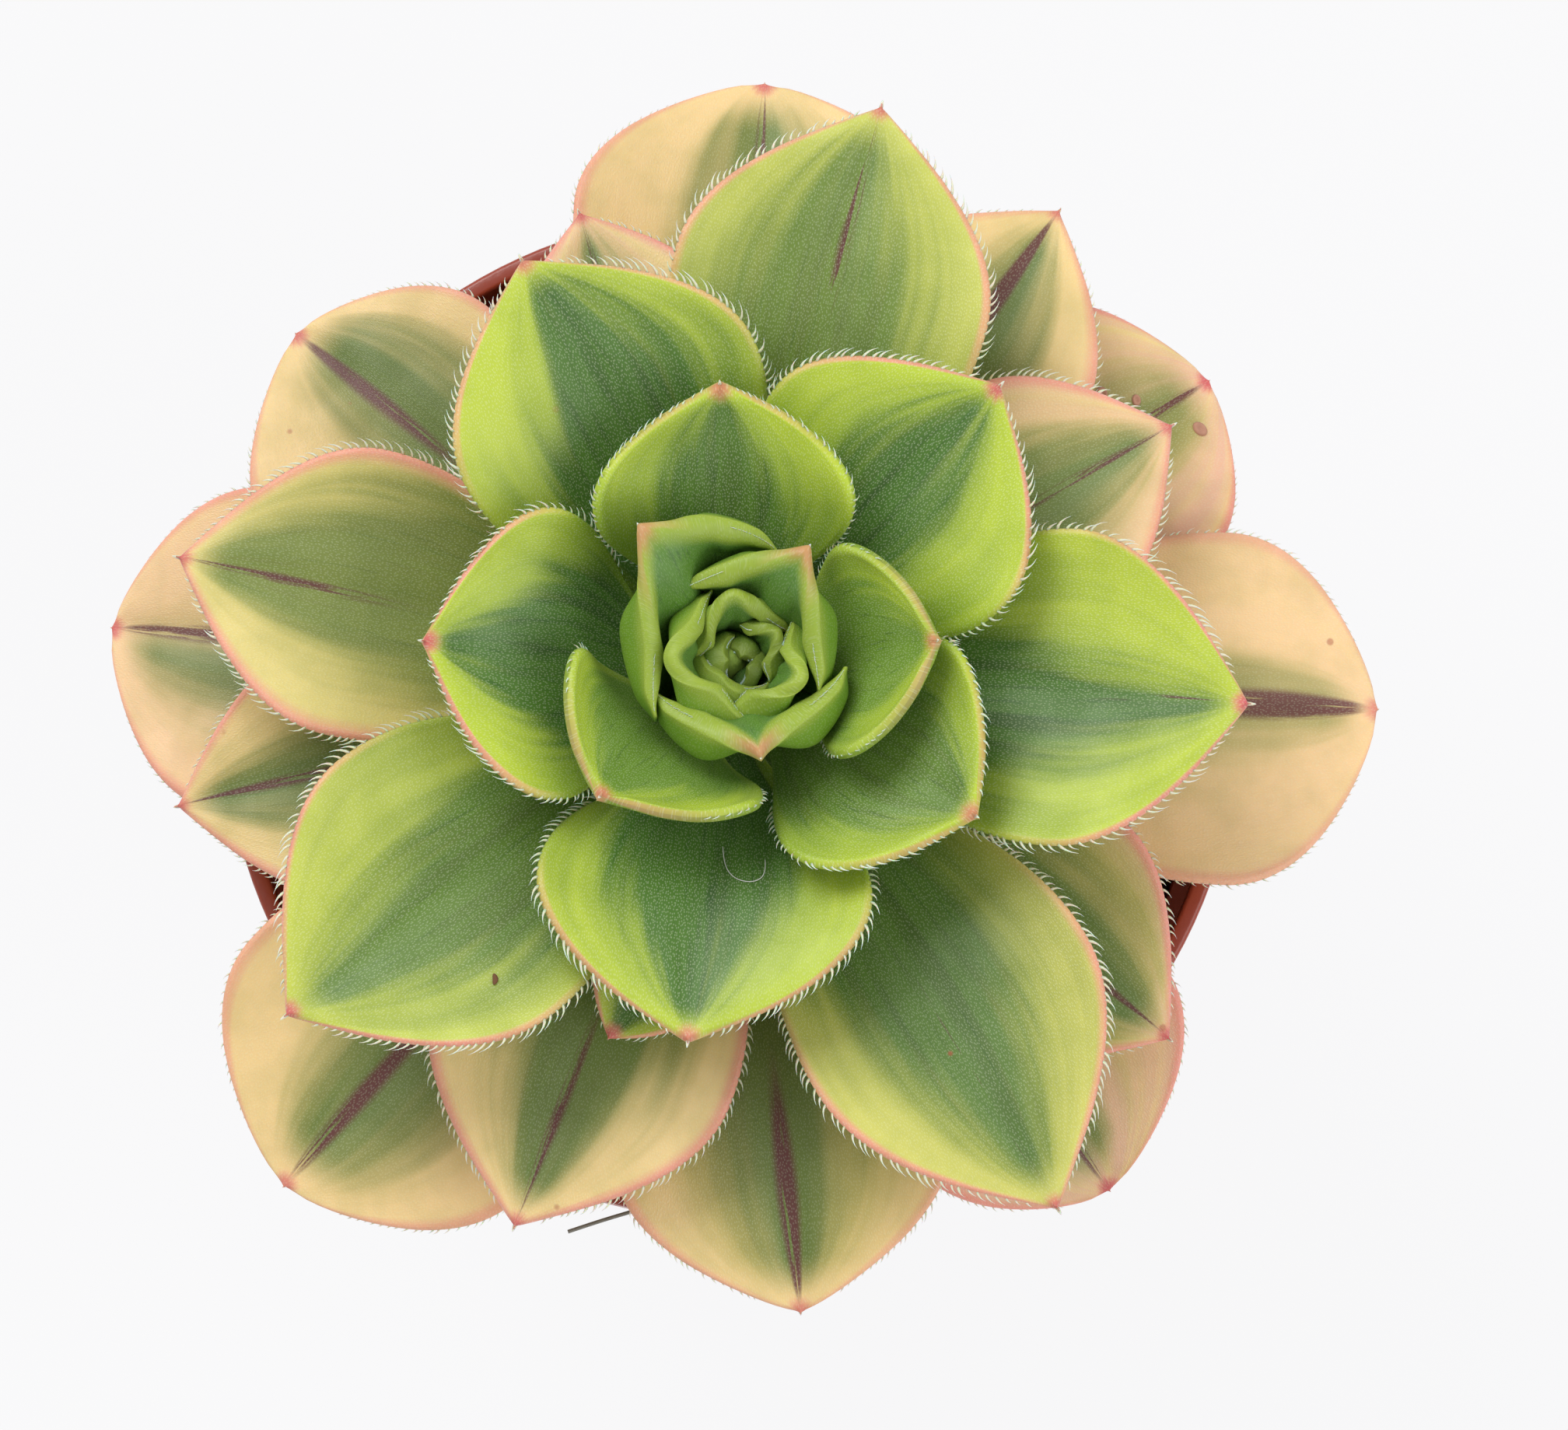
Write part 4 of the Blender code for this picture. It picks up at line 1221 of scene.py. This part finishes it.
def makeFinds():
    # grey and bleached, with no shine
    dead = plainMaterial("dry_root", finds["rootColour"], 0.8)
    path = [Vector(spot) * mm for spot in finds["root"]]
    thread("dry_root", path, finds["rootThick"], dead)
    # a pale hair, a little glossy
    pale = plainMaterial("stray_fibre", finds["fibreColour"], 0.5)
    path = [onLeaf(finds["fibreOn"], u, v, 0.12)[0] for u, v in finds["fibre"]]
    thread("stray_fibre", path, finds["fibreThick"], pale)

    def husk(co):
        # bent like a bean and unevenly thick
        return co.x + 0.5 * co.y * co.y, co.y, co.z * (1 + 0.5 * noise.noise(co * 2.5))

    bm = bmesh.new()
    crumb(bm, *onLeaf(finds["huskOn"], *finds["husk"], 0.1), finds["huskSize"], husk)
    newPiece("dry_husk", bm, plainMaterial("dry_husk", finds["huskColour"], 0.8))

    def scar(co):
        # a healed pit: raised round its rim and sunk in the middle
        rim = co.x * co.x + co.y * co.y
        return co.x, co.y, co.z * (0.15 + 0.85 * math.sin(min(rim, 1.0) * math.pi * 0.8))

    bm = bmesh.new()
    for u, v, size in finds["scars"]:
        crumb(bm, *onLeaf(finds["scarsOn"], u, v, 0.0), (size, size * 0.8, 0.3), scar)
    newPiece("cork_scars", bm, plainMaterial("healed_cork", finds["scarColour"], 0.85))
    print("finds made")


makeFinds()


# Stage: pale floor and soft light

stage = {
    "floor": "#F6F6F7",
    "grey": "#303030",
    "glow": 0.975,
    "sky": 0.5,
    "lookAt": (0, 0, 0.09),
    # place in metres, size in metres, watts
    "lamps": {
        "key": ((-0.35, 0.45, 0.75), 0.5, 5.2),
        "fill": ((0.55, -0.25, 0.6), 0.6, 2.8),
    },
}


def makeStage():
    bm = bmesh.new()
    bmesh.ops.create_grid(bm, x_segments=1, y_segments=1, size=3.0)
    mesh = bpy.data.meshes.new("floor")
    bm.to_mesh(mesh)
    bm.free()
    floor = bpy.data.objects.new("floor", mesh)
    bpy.context.scene.collection.objects.link(floor)
    # lit paper: almost as bright in shadow as in light
    material, tree, shader = newMaterial("pale_floor")
    shader.inputs["Base Color"].default_value = toLinear(stage["grey"])
    shader.inputs["Roughness"].default_value = 0.9
    shader.inputs["Emission Color"].default_value = toLinear(stage["floor"])
    shader.inputs["Emission Strength"].default_value = stage["glow"]
    mesh.materials.append(material)

    world = bpy.data.worlds.new("studio")
    world.use_nodes = True
    sky = world.node_tree.nodes["Background"]
    sky.inputs["Color"].default_value = (1, 1, 1, 1)
    sky.inputs["Strength"].default_value = stage["sky"]
    bpy.context.scene.world = world

    for name, (spot, size, power) in stage["lamps"].items():
        data = bpy.data.lights.new(name, "AREA")
        data.size = size
        data.energy = power
        lamp = bpy.data.objects.new(name, data)
        lamp.location = spot
        aim = Vector(stage["lookAt"]) - Vector(spot)
        lamp.rotation_euler = aim.to_track_quat("-Z", "Y").to_euler()
        bpy.context.scene.collection.objects.link(lamp)
    bpy.context.scene.view_settings.view_transform = "Standard"
    print("stage set")


makeStage()
